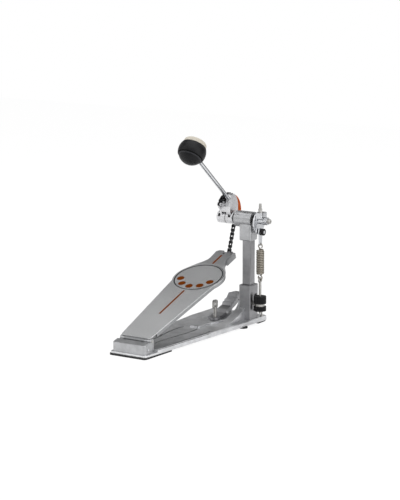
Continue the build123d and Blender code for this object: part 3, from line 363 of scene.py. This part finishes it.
# %% [markdown]
# Chrome plate is nearly a mirror, so it needs almost no colour of its own and gets its look from
# what it reflects. A reflection could be painted on, but it would not change as the pedal moves, so
# it is left to the shader and the room. Turned steel and drawn wire are duller, with fine streaks.

# %% Chrome, steel and spring wire
def plated(name, tone, rough, wear):
    """Nearly a mirror; slow smears take off a little of the gloss."""
    material, tree, shader, where = start_finish(name, tone, rough, metal=1.0)
    smear = grain(tree, where, 35.0, detail=1.0)
    plug(tree, shader.inputs["Roughness"], smear * wear + rough)
    return material


def turned_steel(name, tone, rough, stretch):
    """The streaks are a little paler and duller than the metal between them."""
    material, tree, shader, where = start_finish(name, tone, rough, metal=1.0)
    streak = grain(tree, where, 500.0, detail=3.0, stretch=stretch)
    painted = blend_colours(tree, streak, shade(tone, 0.72), colour(*tone))
    plug(tree, shader.inputs["Base Color"], painted)
    plug(tree, shader.inputs["Roughness"], streak * 0.15 + rough)
    return material


finishes["chrome"] = plated("chrome plate", (0.60, 0.61, 0.63), 0.20, 0.06)
finishes["steel"] = turned_steel("turned steel", (0.52, 0.51, 0.49), 0.28, (0.1, 1.0, 1.0))
finishes["spring_steel"] = turned_steel("spring wire", (0.36, 0.33, 0.285), 0.36, (1.0, 1.0, 0.3))
finishes["dark_steel"] = turned_steel("blackened steel", (0.035, 0.035, 0.038), 0.3, (1.0, 1.0, 1.0))
print("metals:", len(finishes))


# %% [markdown]
# Rubber and moulded plastic have a soft shine and a faint pebbled skin. Felt is wool pressed into a
# block: it has no shine at all, its fibres catch light at the edge, and its surface is fuzzy, which
# a fine noise on the normal and a little sheen show well. The cam is moulded in orange, and its side
# toward the player is black, so its colour changes at one place along y.

# %% Rubber, plastic and felt
black_tone = (0.0035, 0.0035, 0.0045)
cam_black_depth = 0.022


def moulded(name, tone, rough, grain_scale, grain_depth, sheen=0.0, shine=0.5):
    """A pebbled skin: one noise lifts the surface, and makes it paler and duller where it is high."""
    material, tree, shader, where = start_finish(
        name, tone, rough, Sheen_Weight=sheen, Specular_IOR_Level=shine
    )
    pebble = grain(tree, where, grain_scale, detail=3.0)
    painted = blend_colours(tree, pebble, colour(*tone), shade(tone, 1.3, lift=0.001))
    plug(tree, shader.inputs["Base Color"], painted)
    plug(tree, shader.inputs["Roughness"], pebble * gloss_change + rough)
    bumps(tree, shader, pebble, grain_depth)
    return material


def black_plastic(name):
    return moulded(name, black_tone, 0.4, 900.0, 0.00001, shine=0.22)


def cam_finish(black_until_y):
    """Orange plastic; the part of the cam that faces the player is black."""
    material = moulded("orange plastic", (0.36, 0.060, 0.0), 0.5, 300.0, 0.00002, shine=0.12)
    tree, shader, where, orange = open_finish(material)
    facing_player = split(tree, where)[1] < black_until_y
    black = colour(0.012, 0.012, 0.013)
    plug(tree, shader.inputs["Base Color"], blend_colours(tree, facing_player, orange, black))
    return material


finishes["rubber_black"] = moulded("black rubber", (0.012, 0.012, 0.013), 0.6, 400.0, 0.0001)
finishes["black_plastic"] = black_plastic("black plastic")
finishes["cam_orange"] = cam_finish(float(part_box("cam_hub")[0][1]) + cam_black_depth)
finishes["inlay_rust"] = moulded(
    "rust-brown inlay", (0.10, 0.021, 0.0), 0.7, 700.0, 0.00005, shine=0.02
)
finishes["felt"] = moulded(
    "wool felt", (0.43, 0.40, 0.345), 0.95, 1500.0, 0.00012, sheen=0.05, shine=0.1
)
print("finishes:", sorted(finishes))


# %% [markdown]
# The floor plate has shallow grooves, and their floors are painted darker, as painted shade. Their
# outlines need not be drawn again: a point is on a groove's floor when its surface faces up and lies
# a little below the plate's top, so one mask on height and direction finds them all.

# %% Paint shade on the floors of the floor plate's grooves
deck_top = 0.0120
groove_depths = (0.0006, 0.0026)
groove_half_width = 0.055
facing_up = 0.6


def shade_groove_floors(material):
    """Painted shade where the surface faces up just below the deck's top."""
    tree, shader, where, unshaded = open_finish(material)
    normal = Wire(tree, add_node(tree, "ShaderNodeNewGeometry").outputs["Normal"])
    x, _, z = split(tree, where)
    upward = split(tree, normal)[2] > facing_up
    shallow, deep = [deck_top - depth for depth in groove_depths]
    groove = (z < shallow) * (z > deep) * upward * (abs(x) < groove_half_width)
    # painted shade colour for the groove floors
    groove_shade = colour(0.17, 0.17, 0.175)
    plug(tree, shader.inputs["Base Color"], blend_colours(tree, groove, unshaded, groove_shade))


shade_groove_floors(finishes["deck"])
print("grooves between", groove_depths, "m below the top are darker")


# %% [markdown]
# The beater's rod is drawn and plated, and such a bar shows a room's dark parts as strips along its
# whole length. The room here is too plain to give them, so the strips are painted by the direction
# of the surface, which is the same all along a straight rod.

# %% Painted reflection strips on the rod
rod_lean = math.radians(50.7)
streaks = ((-0.42, 0.17), (0.72, 0.12))


def rod_with_painted_reflections(lean):
    """A painted dark reflection strip is where the part of the normal that points across the rod is
    near a chosen value.
    """
    material, tree, shader, _ = start_finish("drawn chrome", (0.60, 0.61, 0.63), 0.16, metal=1.0)
    normal = Wire(tree, add_node(tree, "ShaderNodeTexCoord").outputs["Normal"])
    x, y, z = split(tree, normal)
    across = x * 0.57 + (y * math.cos(lean) + z * math.sin(lean)) * 0.82
    first, second = [abs(across - middle) < half_width for middle, half_width in streaks]
    unshaded = colour(0.64, 0.65, 0.67)
    # painted reflection: the colour of the dark strips
    dark = colour(0.15, 0.155, 0.165)
    plug(tree, shader.inputs["Base Color"], blend_colours(tree, first + second, unshaded, dark))
    return material


finishes["rod"] = rod_with_painted_reflections(rod_lean)
print("the rod has", len(streaks), "dark streaks")

# %% [markdown]
# The beater's ball is moulded in black plastic, with a seam round the face opposite the felt. The
# seam is finer than the CAD model goes, so the shade in it is painted as a thin dark band in the
# finish, with a paler band of painted highlight beside it: the distance toward the felt is worked
# out along a line square to the rod, and one value of it is dark.

# %% Seam of the ball, with painted shade and a painted highlight
ball_seam_depth = 0.0105
seam_half_width = 0.0007
seam_highlight_gap = 0.0019
seam_highlight_half_width = 0.0012


def ball_finish(lean):
    """Black plastic; a dark band of painted shade along the seam, with a paler band of painted
    highlight beside it, runs round the face opposite the felt.
    """
    material = black_plastic("ball plastic")
    tree, shader, where, black = open_finish(material)
    _, y, z = split(tree, where)
    low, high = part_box("beater_head")
    centre_y, centre_z = float(low[1] + high[1]) / 2, float(low[2] + high[2]) / 2
    toward_felt = (y - centre_y) * math.cos(lean) + (z - centre_z) * math.sin(lean)
    # painted shade in the seam
    seam = abs(toward_felt + ball_seam_depth) < seam_half_width
    # painted highlight beside the seam
    edge = abs(toward_felt + ball_seam_depth + seam_highlight_gap) < seam_highlight_half_width
    seam_highlighted = blend_colours(tree, edge * 0.8, black, colour(0.030, 0.030, 0.034))
    seamed = blend_colours(tree, seam, seam_highlighted, colour(0.0005, 0.0005, 0.0005))
    plug(tree, shader.inputs["Base Color"], seamed)
    plug(tree, shader.inputs["Roughness"], 0.42 + seam * 0.5)
    return material


finishes["ball"] = ball_finish(rod_lean)
print("the ball's seam is", ball_seam_depth, "m behind its middle")

# %% [markdown]
# The collars of the hub and of the beater's holder stand close together on the axle, and the gap
# between them is too dark to see into. A thin band of painted shade across the axle darkens both at
# their edge.

# %% Painted shade in the gap between the two collars
joints = frame["record"]["behaviour"]["joints"]
joint_place = {row["name"]: row["pos_m"] for row in joints if "pos_m" in row}
collar_gap_x, collar_gap_half_width = 0.0052, 0.0006
collar_gap_rise = 0.0125


def paint_collar_gap_shade(material):
    """A thin band of painted shade across x, up to the top of the collars."""
    tree, shader, where, unshaded = open_finish(material)
    x, _, z = split(tree, where)
    low = z < joint_place["axle_turn"][2] + collar_gap_rise
    gap = (abs(x - collar_gap_x) < collar_gap_half_width) * low
    # painted shade in the gap between the collars
    dark = colour(0.03, 0.03, 0.03)
    plug(tree, shader.inputs["Base Color"], blend_colours(tree, gap, unshaded, dark))


paint_collar_gap_shade(finishes["plated_casting"])
print("hinges in the record:", sorted(joint_place))


# %% [markdown]
# The CAD model's record names a material for every piece. A loop gives each piece the finish of
# that name, apart from the few that have a finish of their own.

# %% Give every CAD piece its finish
special = {
    "base_plate": "deck",
    "post_column": "post",
    "post_block": "post",
    "clamp_jaw": "post",
    "cam_hub": "plated_casting",
    "beater_holder": "plated_casting",
    "beater_rod": "rod",
    "beater_head": "ball",
}
for row in frame["record"]["subparts"]:
    piece = nodes[row["node"]]
    piece.data.materials.clear()
    piece.data.materials.append(finishes[special.get(row["node"], row["material_slot"])])


# %% [markdown]
# Every new piece below is a grid of points: rings of points carried along a path, joined into
# four-sided faces. Rings that have shrunk to a point close the ends. One helper turns such grids into
# a mesh, merges the points that fall together and turns the faces outward, so that each piece only
# has to say where its points are.

# %% Turn grids of points into a closed mesh
merge_distance = 1e-7


def grid_faces(rows, columns, first):
    """Faces between neighbouring rows; each row is a closed ring. Points count up from first."""
    r, c = np.meshgrid(np.arange(rows - 1), np.arange(columns), indexing="ij")
    next_c = (c + 1) % columns
    here, above = r * columns, (r + 1) * columns
    faces = np.stack([here + c, here + next_c, above + next_c, above + c], -1)
    return faces.reshape(-1, 4) + first


def weld_and_turn_out(mesh):
    """Merges the points that meet at seams and poles, and turns every face outward."""
    work = bmesh.new()
    work.from_mesh(mesh)
    bmesh.ops.remove_doubles(work, verts=work.verts, dist=merge_distance)
    bmesh.ops.dissolve_degenerate(work, edges=work.edges, dist=merge_distance)
    bmesh.ops.recalc_face_normals(work, faces=work.faces)
    work.to_mesh(mesh)
    work.free()


def make_piece(name, grids, finish, body, smooth=True):
    """One mesh from several grids of shape (rows, columns, 3), each closed where its rows shrink."""
    points, faces, first = [], [], 0
    for grid in grids:
        rows, columns, _ = grid.shape
        points.append(grid.reshape(-1, 3))
        faces.append(grid_faces(rows, columns, first))
        first += rows * columns
    mesh = bpy.data.meshes.new(name)
    mesh.from_pydata(np.concatenate(points).tolist(), [], np.concatenate(faces).tolist())
    made = bpy.data.objects.new(name, mesh)
    bpy.context.collection.objects.link(made)
    weld_and_turn_out(mesh)
    mesh.polygons.foreach_set("use_smooth", np.full(len(mesh.polygons), smooth))
    mesh.materials.append(finish)
    if body is not None:
        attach(made, body)
    print(name, "faces", len(mesh.polygons))
    return made


print("grids can be made into pieces")

# %% [markdown]
# The spring and the threads are round tubes along a path. A curve with a bevel would make them too,
# but on a tight coil its rings can twist, and here the rings are the piece's own points, so their
# number and their ends are known.

# %% A round tube along any path
off_every_path = (0.3, 0.2, 1.0)


def tube_along(path, radius, sides=12):
    """At every point of the path a ring of the given radius, square to the path: the path's point
    plus radius times (cosine of the turn along one side, sine along the other). The ring's sides
    are carried along without twisting. The ends shrink to a point."""
    path = np.asarray(path, float)
    radius = np.broadcast_to(np.asarray(radius, float), (len(path),))
    along = np.gradient(path, axis=0)
    along /= np.linalg.norm(along, axis=1, keepdims=True)
    side = np.cross(along[0], off_every_path)
    carried = []
    for direction in along:
        side = side - direction * np.dot(side, direction)
        side = side / np.linalg.norm(side)
        carried.append(side)
    side = np.array(carried)
    up = np.cross(along, side)
    turn = np.linspace(0, 2 * np.pi, sides, endpoint=False)
    ring = (
        side[:, None, :] * np.cos(turn)[None, :, None] + up[:, None, :] * np.sin(turn)[None, :, None]
    )
    rings = path[:, None, :] + ring * radius[:, None, None]
    caps = np.repeat(path[[0, -1]][:, None, :], sides, axis=1)
    return np.concatenate([caps[:1], rings, caps[1:]])


print("tubes are ready")

# %% [markdown]
# The return spring is an extension spring. A machine winds the wire round a mandrel and bends its
# ends out into hooks. The coils are one helix, whose ends draw in toward the middle, and each hook
# is most of an upright circle. A Screw modifier could wind the coils, but it could not draw the ends
# in. The spring stretches when the pedal is pressed, so it does not ride on one body.

# %% Wind the return spring
spring_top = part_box("spring")[1][2]
spring_middle = np.array([0.0792, 0.295])
wire_radius = 0.0017
coil_radius = 0.0078 - wire_radius
coil_bottom, coil_top = 0.0992 + wire_radius, 0.1518 - wire_radius
turns = 14.5
points_in_turn = 28
drawn_in_turns = 0.8
drawn_in_to = 0.25
hook_radius = 0.0042
hook_wire_radius = 0.0011
low_hook_z = 0.095
high_hook_z = spring_top - 0.0012 - hook_radius
hook_swing = np.linspace(0, 1.75 * np.pi, 30)


def coil_path():
    """A helix: it turns at a steady rate while it climbs. Its distance from the middle follows a
    quarter of a sine wave over the drawn-in part of each end."""
    step = np.linspace(0, 1, int(turns * points_in_turn))
    angle = 2 * np.pi * turns * step
    taper = np.clip(np.minimum(step, 1 - step) * turns / drawn_in_turns, 0, 1)
    reach = coil_radius * (drawn_in_to + (1 - drawn_in_to) * np.sin(taper * np.pi / 2))
    return np.stack(
        [
            spring_middle[0] + reach * np.cos(angle),
            spring_middle[1] + reach * np.sin(angle),
            coil_bottom + (coil_top - coil_bottom) * step,
        ],
        -1,
    )


def hook_path(height, way):
    """Part of an upright circle: x follows the sine of the swing, z follows its cosine."""
    return np.stack(
        [
            spring_middle[0] + way * hook_radius * np.sin(hook_swing),
            np.full_like(hook_swing, spring_middle[1]),
            height + way * hook_radius * np.cos(hook_swing),
        ],
        -1,
    )


spring_piece = make_piece(
    "return_spring_coils",
    [
        tube_along(coil_path(), wire_radius, 10),
        tube_along(hook_path(low_hook_z, 1)[::-1], hook_wire_radius, 8),
        tube_along(hook_path(high_hook_z, -1), hook_wire_radius, 8),
    ],
    finishes["spring_steel"],
    None,
)
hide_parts("spring")
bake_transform(spring_piece)

# %% [markdown]
# A roller chain alternates two kinds of link. Inner links are two plates with a roller at each end;
# outer links are two plates riveted on pins. Both plates have a waist, which saves weight. The
# half-height of the plate at x is that of a circle round the nearer pin, but never below the waist.
# The four lowest pins on the cam are the chain's hinges in the frame, so their places give the rest:
# the circle through them is the cam's pitch circle, and the free run leaves it along the tangent.

# %% Where the chain's pins are
hinges = [joint_place[name] for name in ("chain_swing", "chain_lower", "chain_middle", "chain_upper")]
chain_x = hinges[0][0]
pins_on_cam = np.array([[place[1], place[2]] for place in hinges])
pitch = float(np.linalg.norm(pins_on_cam[1] - pins_on_cam[0]))


def circle_middle(first, second, third):
    """The point that is equally far from three points."""
    rows = 2 * np.array([second - first, third - first])
    sums = np.array([second @ second - first @ first, third @ third - first @ first])
    return np.linalg.solve(rows, sums)


cam_middle = circle_middle(pins_on_cam[0], pins_on_cam[1], pins_on_cam[3])
spoke = pins_on_cam[0] - cam_middle
pitch_radius = float(np.linalg.norm(spoke))
first_angle = math.atan2(spoke[1], spoke[0])
link_turn = 2 * math.asin(pitch / 2 / pitch_radius)
run_direction = np.array([math.sin(first_angle), -math.cos(first_angle)])


def pin_place(index):
    """Pin 0 is where the chain leaves the cam; higher ones lie on the cam, negative ones below."""
    if index >= 0:
        angle = first_angle + index * link_turn
        return cam_middle + pitch_radius * np.array([math.cos(angle), math.sin(angle)])
    return pins_on_cam[0] - index * pitch * run_direction


print("chain pitch", round(pitch * 1000, 2), "mm, circle", round(pitch_radius * 1000, 2), "mm")

# %% [markdown]
# Plates, rollers and rivets are all flat outlines with a thickness. Their edges get a small bevel,
# because a sharp edge shows no line of light and looks like paper.

# %% Flat outlines and the prism that gives them a thickness
plate_half_height = 0.0031
plate_waist = 0.0021
plate_points = 56


def prism(outline, low, high, bevel, place):
    """Stacks copies of a flat outline from low to high; the first and last shrink to the middle.
    place turns (outline point, height) into a point in space."""
    middle = outline.mean(axis=0)
    inset = outline - bevel * (outline - middle) / np.linalg.norm(outline - middle, axis=1)[:, None]
    flat = np.repeat(middle[None, :], len(outline), axis=0)
    levels = (
        (flat, low),
        (inset, low),
        (outline, low + bevel),
        (outline, high - bevel),
        (inset, high),
        (flat, high),
    )
    return np.stack([place(shape, height) for shape, height in levels])


def waisted_outline(length):
    """x follows a cosine from end to end, y is the larger of the end circle and the waist."""
    turn = np.linspace(0, 2 * np.pi, plate_points, endpoint=False)
    x = (length / 2 + plate_half_height) * np.cos(turn)
    bulge = np.sqrt(np.clip(plate_half_height**2 - (np.abs(x) - length / 2) ** 2, 0, None))
    y = np.where(np.abs(x) < length / 2, np.maximum(bulge, plate_waist), bulge)
    return np.stack([x, y * np.where(turn < np.pi, 1, -1)], -1)


def round_outline(radius, sides=18):
    """x is the radius times the cosine of the turn, y the radius times its sine."""
    turn = np.linspace(0, 2 * np.pi, sides, endpoint=False)
    return radius * np.stack([np.cos(turn), np.sin(turn)], -1)


print("plate outline of", len(waisted_outline(pitch)), "points")

# %% [markdown]
# One link could be copied by an Array modifier along a curve, but the chain bends round the cam and
# moves, so each link is placed between its own two pins. The links on the cam turn with the axle,
# the next three each have a hinge, and the rest hang together.

# %% Build the links
plate_reach = {"inner": (0.0013, 0.0021), "outer": (0.0022, 0.0030)}
barrel_radius = {"inner": 0.0024, "outer": 0.0011}
barrel_reach = {"inner": 0.0013, "outer": 0.0033}
plate_bevel = 0.00012
barrel_bevel = 0.0002


def link_grids(low, high, kind):
    """The grids of one link between two pins: a plate on each side, and a roller or a rivet at
    each pin. A point of a flat shape goes along and across the line between the pins."""
    middle, along = (low + high) / 2, (high - low) / pitch
    across = np.array([-along[1], along[0]])

    def place_at(origin):
        def place(shape, height):
            flat = origin + shape[:, :1] * along + shape[:, 1:] * across
            return np.column_stack([np.full(len(shape), chain_x + height), flat])

        return place

    start, end = plate_reach[kind]
    plate = waisted_outline(pitch)
    grids = []
    for side in (-1, 1):
        near, far = sorted((side * start, side * end))
        grids.append(prism(plate, near, far, plate_bevel, place_at(middle)))
    barrel = round_outline(barrel_radius[kind])
    reach = barrel_reach[kind]
    for pin in (low, high):
        grids.append(prism(barrel, -reach, reach, barrel_bevel, place_at(pin)))
    return grids


def chain_piece(name, node, body, first, last, kind):
    """Every second link between two pin numbers, as one piece on one body."""
    grids = []
    for index in range(first, last, 2):
        grids += link_grids(pin_place(index), pin_place(index + 1), kind)
    made = make_piece(name, grids, finishes["dark_steel"], body, smooth=False)
    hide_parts(node)
    return made


chain_piece("cam_inner_links", "cam_chain_inner", "axle", 3, 12, "inner")
chain_piece("cam_outer_links", "cam_chain_outer", "axle", 4, 12, "outer")
chain_piece("free_link_upper", "chain_link_upper", "link_upper", 2, 3, "outer")
chain_piece("free_link_middle", "chain_link_middle", "link_middle", 1, 2, "inner")
chain_piece("free_link_lower", "chain_link_lower", "link_lower", 0, 1, "outer")
chain_piece("run_inner_links", "chain_run_inner", "chain_run", -9, 0, "inner")
chain_piece("run_outer_links", "chain_run_outer", "chain_run", -8, 0, "outer")

# %% [markdown]
# A few small turned pieces finish the pedal: the grub screws in the hub and the beater's holder, the
# screw in the footboard's neck, the ribs across the top of the clamp's jaw, and the bright end of
# the spring pin in its black cap. Each is a prism along one direction, with a round outline.

# %% A small turned piece, and the grub screws
def turned(name, body, foot, direction, outline, length, bevel, finish):
    """A prism from foot along a direction; any two axes square to it carry the outline."""
    direction = np.array(direction, float) / np.linalg.norm(direction)
    nearly_along_x = abs(direction[0]) >= 0.9
    helper = np.array([0.0, 1.0, 0.0]) if nearly_along_x else np.array([1.0, 0.0, 0.0])
    across = np.cross(direction, helper)
    across /= np.linalg.norm(across)
    up = np.cross(direction, across)

    def place(shape, height):
        flat = shape[:, :1] * across + shape[:, 1:] * up
        return np.array(foot) + flat + direction * height

    grids = [prism(outline, 0.0, length, bevel, place)]
    made = make_piece(name, grids, finishes[finish], body, smooth=False)
    return made


shaft_y, shaft_z = joint_place["axle_turn"][1:]
screw_angle = math.radians(24)
screw_way = (0.0, -math.cos(screw_angle), math.sin(screw_angle))
screw_seat = 0.008
collar_radius = 0.0119
screw_proud = 0.00008
screw_places = (float(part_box("cam_hub")[0][0]) + 0.006, float(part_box("beater_holder")[1][0]) - 0.0064)
for number, x in enumerate(screw_places):
    turned(
        f"grub_screw_{number}",
        "axle",
        (x, shaft_y + screw_way[1] * screw_seat, shaft_z + screw_way[2] * screw_seat),
        screw_way,
        round_outline(0.0030, 24),
        collar_radius - screw_seat + screw_proud,
        0.0002,
        "black_plastic",
    )

# %% [markdown]
# The screw in the footboard's neck sits on the slope of the board, so its place is given by the
# distance up the slope, and it points square to the board.

# %% Screw in the footboard's neck
board_up = (0.0, -math.sin(board_pitch), math.cos(board_pitch))
neck_along = 0.3158
neck_sunk = 0.0015
neck_proud = 0.0002
turned(
    "neck_screw",
    "footboard",
    (
        0.0,
        heel_y + neck_along * math.cos(board_pitch) - neck_sunk * board_up[1],
        heel_z + neck_along * math.sin(board_pitch) - neck_sunk * board_up[2],
    ),
    board_up,
    round_outline(0.0019, 24),
    neck_sunk + neck_proud,
    0.0001,
    "black_plastic",
)

# %% [markdown]
# The top of the jaw is curved, and its ribs follow it. A ray dropped on the CAD piece tells how high
# the jaw is under each rib, so that every rib is sunk into it by the same amount.

# %% Ribs on the jaw
jaw_low, jaw_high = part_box("clamp_jaw")
jaw_width = float(jaw_high[0] - jaw_low[0])
jaw_middle = float(jaw_low[0] + jaw_high[0]) / 2
rib_places = (0.296, 0.303, 0.310, 0.317, 0.330)
rib_inset = 0.0008
rib_sunk = 0.0003
above_jaw = 0.2
for number, y in enumerate(rib_places):
    struck = nodes["clamp_jaw"].ray_cast((jaw_middle, y, above_jaw), (0, 0, -1))[1]
    turned(
        f"jaw_rib_{number}",
        "jaw",
        (jaw_middle - jaw_width / 2 + rib_inset, struck[1], struck[2] - rib_sunk),
        (1, 0, 0),
        round_outline(0.0013, 20),
        jaw_width - 2 * rib_inset,
        0.0003,
        "post",
    )
    print(f"jaw rib {number} at z {struck[2]:.4f}")

# %% [markdown]
# The pin that carries the spring ends in a black cap, and a bright disc shows in the cap's middle.

# %% Bright end of the spring pin
cap_low, cap_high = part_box("spring_pin")
cap_y = float(cap_low[1] + cap_high[1]) / 2
cap_z = float(cap_low[2] + cap_high[2]) / 2
pin_sunk = 0.0006
turned(
    "spring_pin_end",
    "axle",
    (float(cap_high[0]) - pin_sunk, cap_y, cap_z),
    (1, 0, 0),
    round_outline(0.0034, 24),
    0.0007,
    0.0003,
    "chrome",
)

# %% [markdown]
# A screw thread is a ridge wound round a rod. The path of the ridge is a helix: while the angle goes
# round once, the height grows by one pitch. The ridge tapers to nearly nothing at both ends. A cut
# groove would look much the same, but a ridge leaves the CAD rods as they are.

# %% Screw threads
thread_points_in_turn = 16
thinnest = 0.05


def thread(name, body, foot, length, radius, pitch, finish="steel", ridge=0.0004):
    """A helical ridge round an upright rod that starts at foot."""
    rounds = length / pitch
    step = np.linspace(0, 1, int(rounds * thread_points_in_turn))
    angle = 2 * np.pi * rounds * step
    path = np.stack(
        [
            foot[0] + radius * np.cos(angle),
            foot[1] + radius * np.sin(angle),
            foot[2] + length * step,
        ],
        -1,
    )
    size = ridge * np.clip(np.minimum(step, 1 - step) * rounds, thinnest, 1)
    made = make_piece(name, [tube_along(path, size, 6)], finishes[finish], body)
    return made


def seen_from_above(name):
    """The x and y of the middle of a piece."""
    low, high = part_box(name)
    return [(low[axis] + high[axis]) / 2 for axis in range(2)]


bolt_radius = 0.0024
coarse_pitch = 0.0016
bolt_thread_length = 0.022
end_gap = 0.0005
bolt_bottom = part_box("tension_bolt")[0][2]
upper_knob_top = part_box("upper_knob")[1][2]
lower_knob_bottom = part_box("lower_knob")[0][2]
stud_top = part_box("lever_stud")[1][2]
low_length = float(lower_knob_bottom - bolt_bottom) - 2 * end_gap
stud_foot = [*seen_from_above("lever_stud"), stud_top - 0.0096]
spur_foot = [*seen_from_above("floor_spur"), 0.0145]
wing_foot = [*seen_from_above("wing_screw"), 0.0215]
bolt_foot = [*spring_middle, upper_knob_top + end_gap]
low_foot = [*spring_middle, bolt_bottom + end_gap]
thread("bolt_thread", "base", bolt_foot, bolt_thread_length, bolt_radius, coarse_pitch)
thread("bolt_thread_low", "base", low_foot, low_length, bolt_radius, coarse_pitch)
thread("stud_thread", "axle", stud_foot, 0.009, bolt_radius, coarse_pitch)
thread("spur_thread", "base", spur_foot, 0.0125, 0.0014, 0.0014, ridge=0.0003)
thread("wing_thread", "screw", wing_foot, 0.014, 0.0029, coarse_pitch)

# %% [markdown]
# The pedal stands on a plain pale floor, which the camera sees as nearly white. That comes from a
# glow that only camera rays meet, so it puts no more light on the pedal, and the floor keeps the
# pedal's shadow.

# %% Floor
floor_half_size = 3.0
floor_tone = (0.86, 0.86, 0.86)
glow_share = 0.86
glow_strength = 1.06


def studio_floor():
    """One large square at the height of the pedal's feet."""
    size = floor_half_size
    mesh = bpy.data.meshes.new("floor")
    corners = [(-size, -size, 0), (size, -size, 0), (size, size, 0), (-size, size, 0)]
    mesh.from_pydata(corners, [], [(0, 1, 2, 3)])
    floor = bpy.data.objects.new("floor", mesh)
    bpy.context.collection.objects.link(floor)
    material, tree, shader, _ = start_finish("pale floor", floor_tone, 0.9, Specular_IOR_Level=0.1)
    out = tree.nodes["Material Output"]
    white = {"Color": colour(1, 1, 1), "Strength": glow_strength}
    glow = add_node(tree, "ShaderNodeEmission", None, white)
    path = add_node(tree, "ShaderNodeLightPath")
    shown = Wire(tree, path.outputs["Is Camera Ray"]) * glow_share
    mixed = add_node(tree, "ShaderNodeMixShader", None, {0: shown})
    tree.links.new(shader.outputs[0], mixed.inputs[1])
    tree.links.new(glow.outputs[0], mixed.inputs[2])
    tree.links.new(mixed.outputs[0], out.inputs["Surface"])
    mesh.materials.append(material)


studio_floor()
print("floor is", 2 * floor_half_size, "m wide")

# %% [markdown]
# Three large lamps do the work of a studio's soft boxes: a broad one above, one at the left for the
# fronts, and a smaller one at the right that draws bright edges on the chrome. Large lamps give soft
# shadows, and metal shows them as broad pale patches.

# %% Lamps
lamp_aim = (0.02, 0.15, 0.15)


def lamp(name, place, width, height, power):
    """A rectangle of light that faces the pedal; sizes in metres, power in watts."""
    light = bpy.data.lights.new(name, "AREA")
    light.shape = "RECTANGLE"
    light.size = width
    light.size_y = height
    light.energy = power
    made = bpy.data.objects.new(name, light)
    bpy.context.collection.objects.link(made)
    made.location = place
    direction = np.array(lamp_aim) - np.array(place)
    made.rotation_euler = Vector(direction.tolist()).to_track_quat("-Z", "Y").to_euler()


lamp("lamp above", (0.1, -0.1, 1.9), 2.2, 2.2, 23.0)
lamp("lamp left", (-1.5, -1.1, 0.9), 2.2, 2.0, 12.5)
lamp("lamp right", (1.6, 0.1, 0.9), 1.4, 1.8, 9.5)
print("lamps:", [light.name for light in bpy.data.lights])

# %% [markdown]
# The room that the metal mirrors has dark and pale patches, as a studio has, while the camera sees
# plain white and everything else gets an even, modest light. The trick is to ask what kind of ray is
# looking: a camera ray, a mirrored ray or any other.

# %% World
diffuse_light = 0.62
dark_patch, patch_range = 0.08, 0.75
world = bpy.data.worlds.new("white room")
bpy.context.scene.world = world
world.use_nodes = True
sky = world.node_tree
background = sky.nodes["Background"]
background.inputs["Color"].default_value = colour(1, 1, 1)
rays = add_node(sky, "ShaderNodeLightPath")
seen = Wire(sky, rays.outputs["Is Camera Ray"])
mirrored = Wire(sky, rays.outputs["Is Glossy Ray"])
direction = Wire(sky, add_node(sky, "ShaderNodeTexCoord").outputs["Generated"])
cards = grain(sky, direction, 1.7, detail=0.5, stretch=(1.0, 1.0, 0.6)).band(0.44, 0.56)
reflection = cards * patch_range + dark_patch
strength = mirrored * (reflection - diffuse_light) + diffuse_light
plug(sky, background.inputs["Strength"], seen * (1.0 - strength) + strength)
print("world:", world.name)

# %% [markdown]
# The camera stands behind the heel and to the player's right, and looks down by eleven degrees. It
# has a long lens, which keeps the post and the footboard from seeming to lean.

# %% Camera
camera_place = (1.8779, -2.7652, 0.8577)
looks_down, turned_left = 11.3, 32.3
camera_data = bpy.data.cameras.new("camera")
camera_data.lens = 136.8
camera_data.sensor_width = 36.0
camera_data.clip_start = 0.05
camera = bpy.data.objects.new("camera", camera_data)
bpy.context.collection.objects.link(camera)
camera.location = camera_place
camera.rotation_euler = (math.radians(90 - looks_down), 0.0, math.radians(turned_left))
bpy.context.scene.camera = camera
bpy.context.scene.view_settings.view_transform = "Standard"
print("camera at", tuple(camera.location))
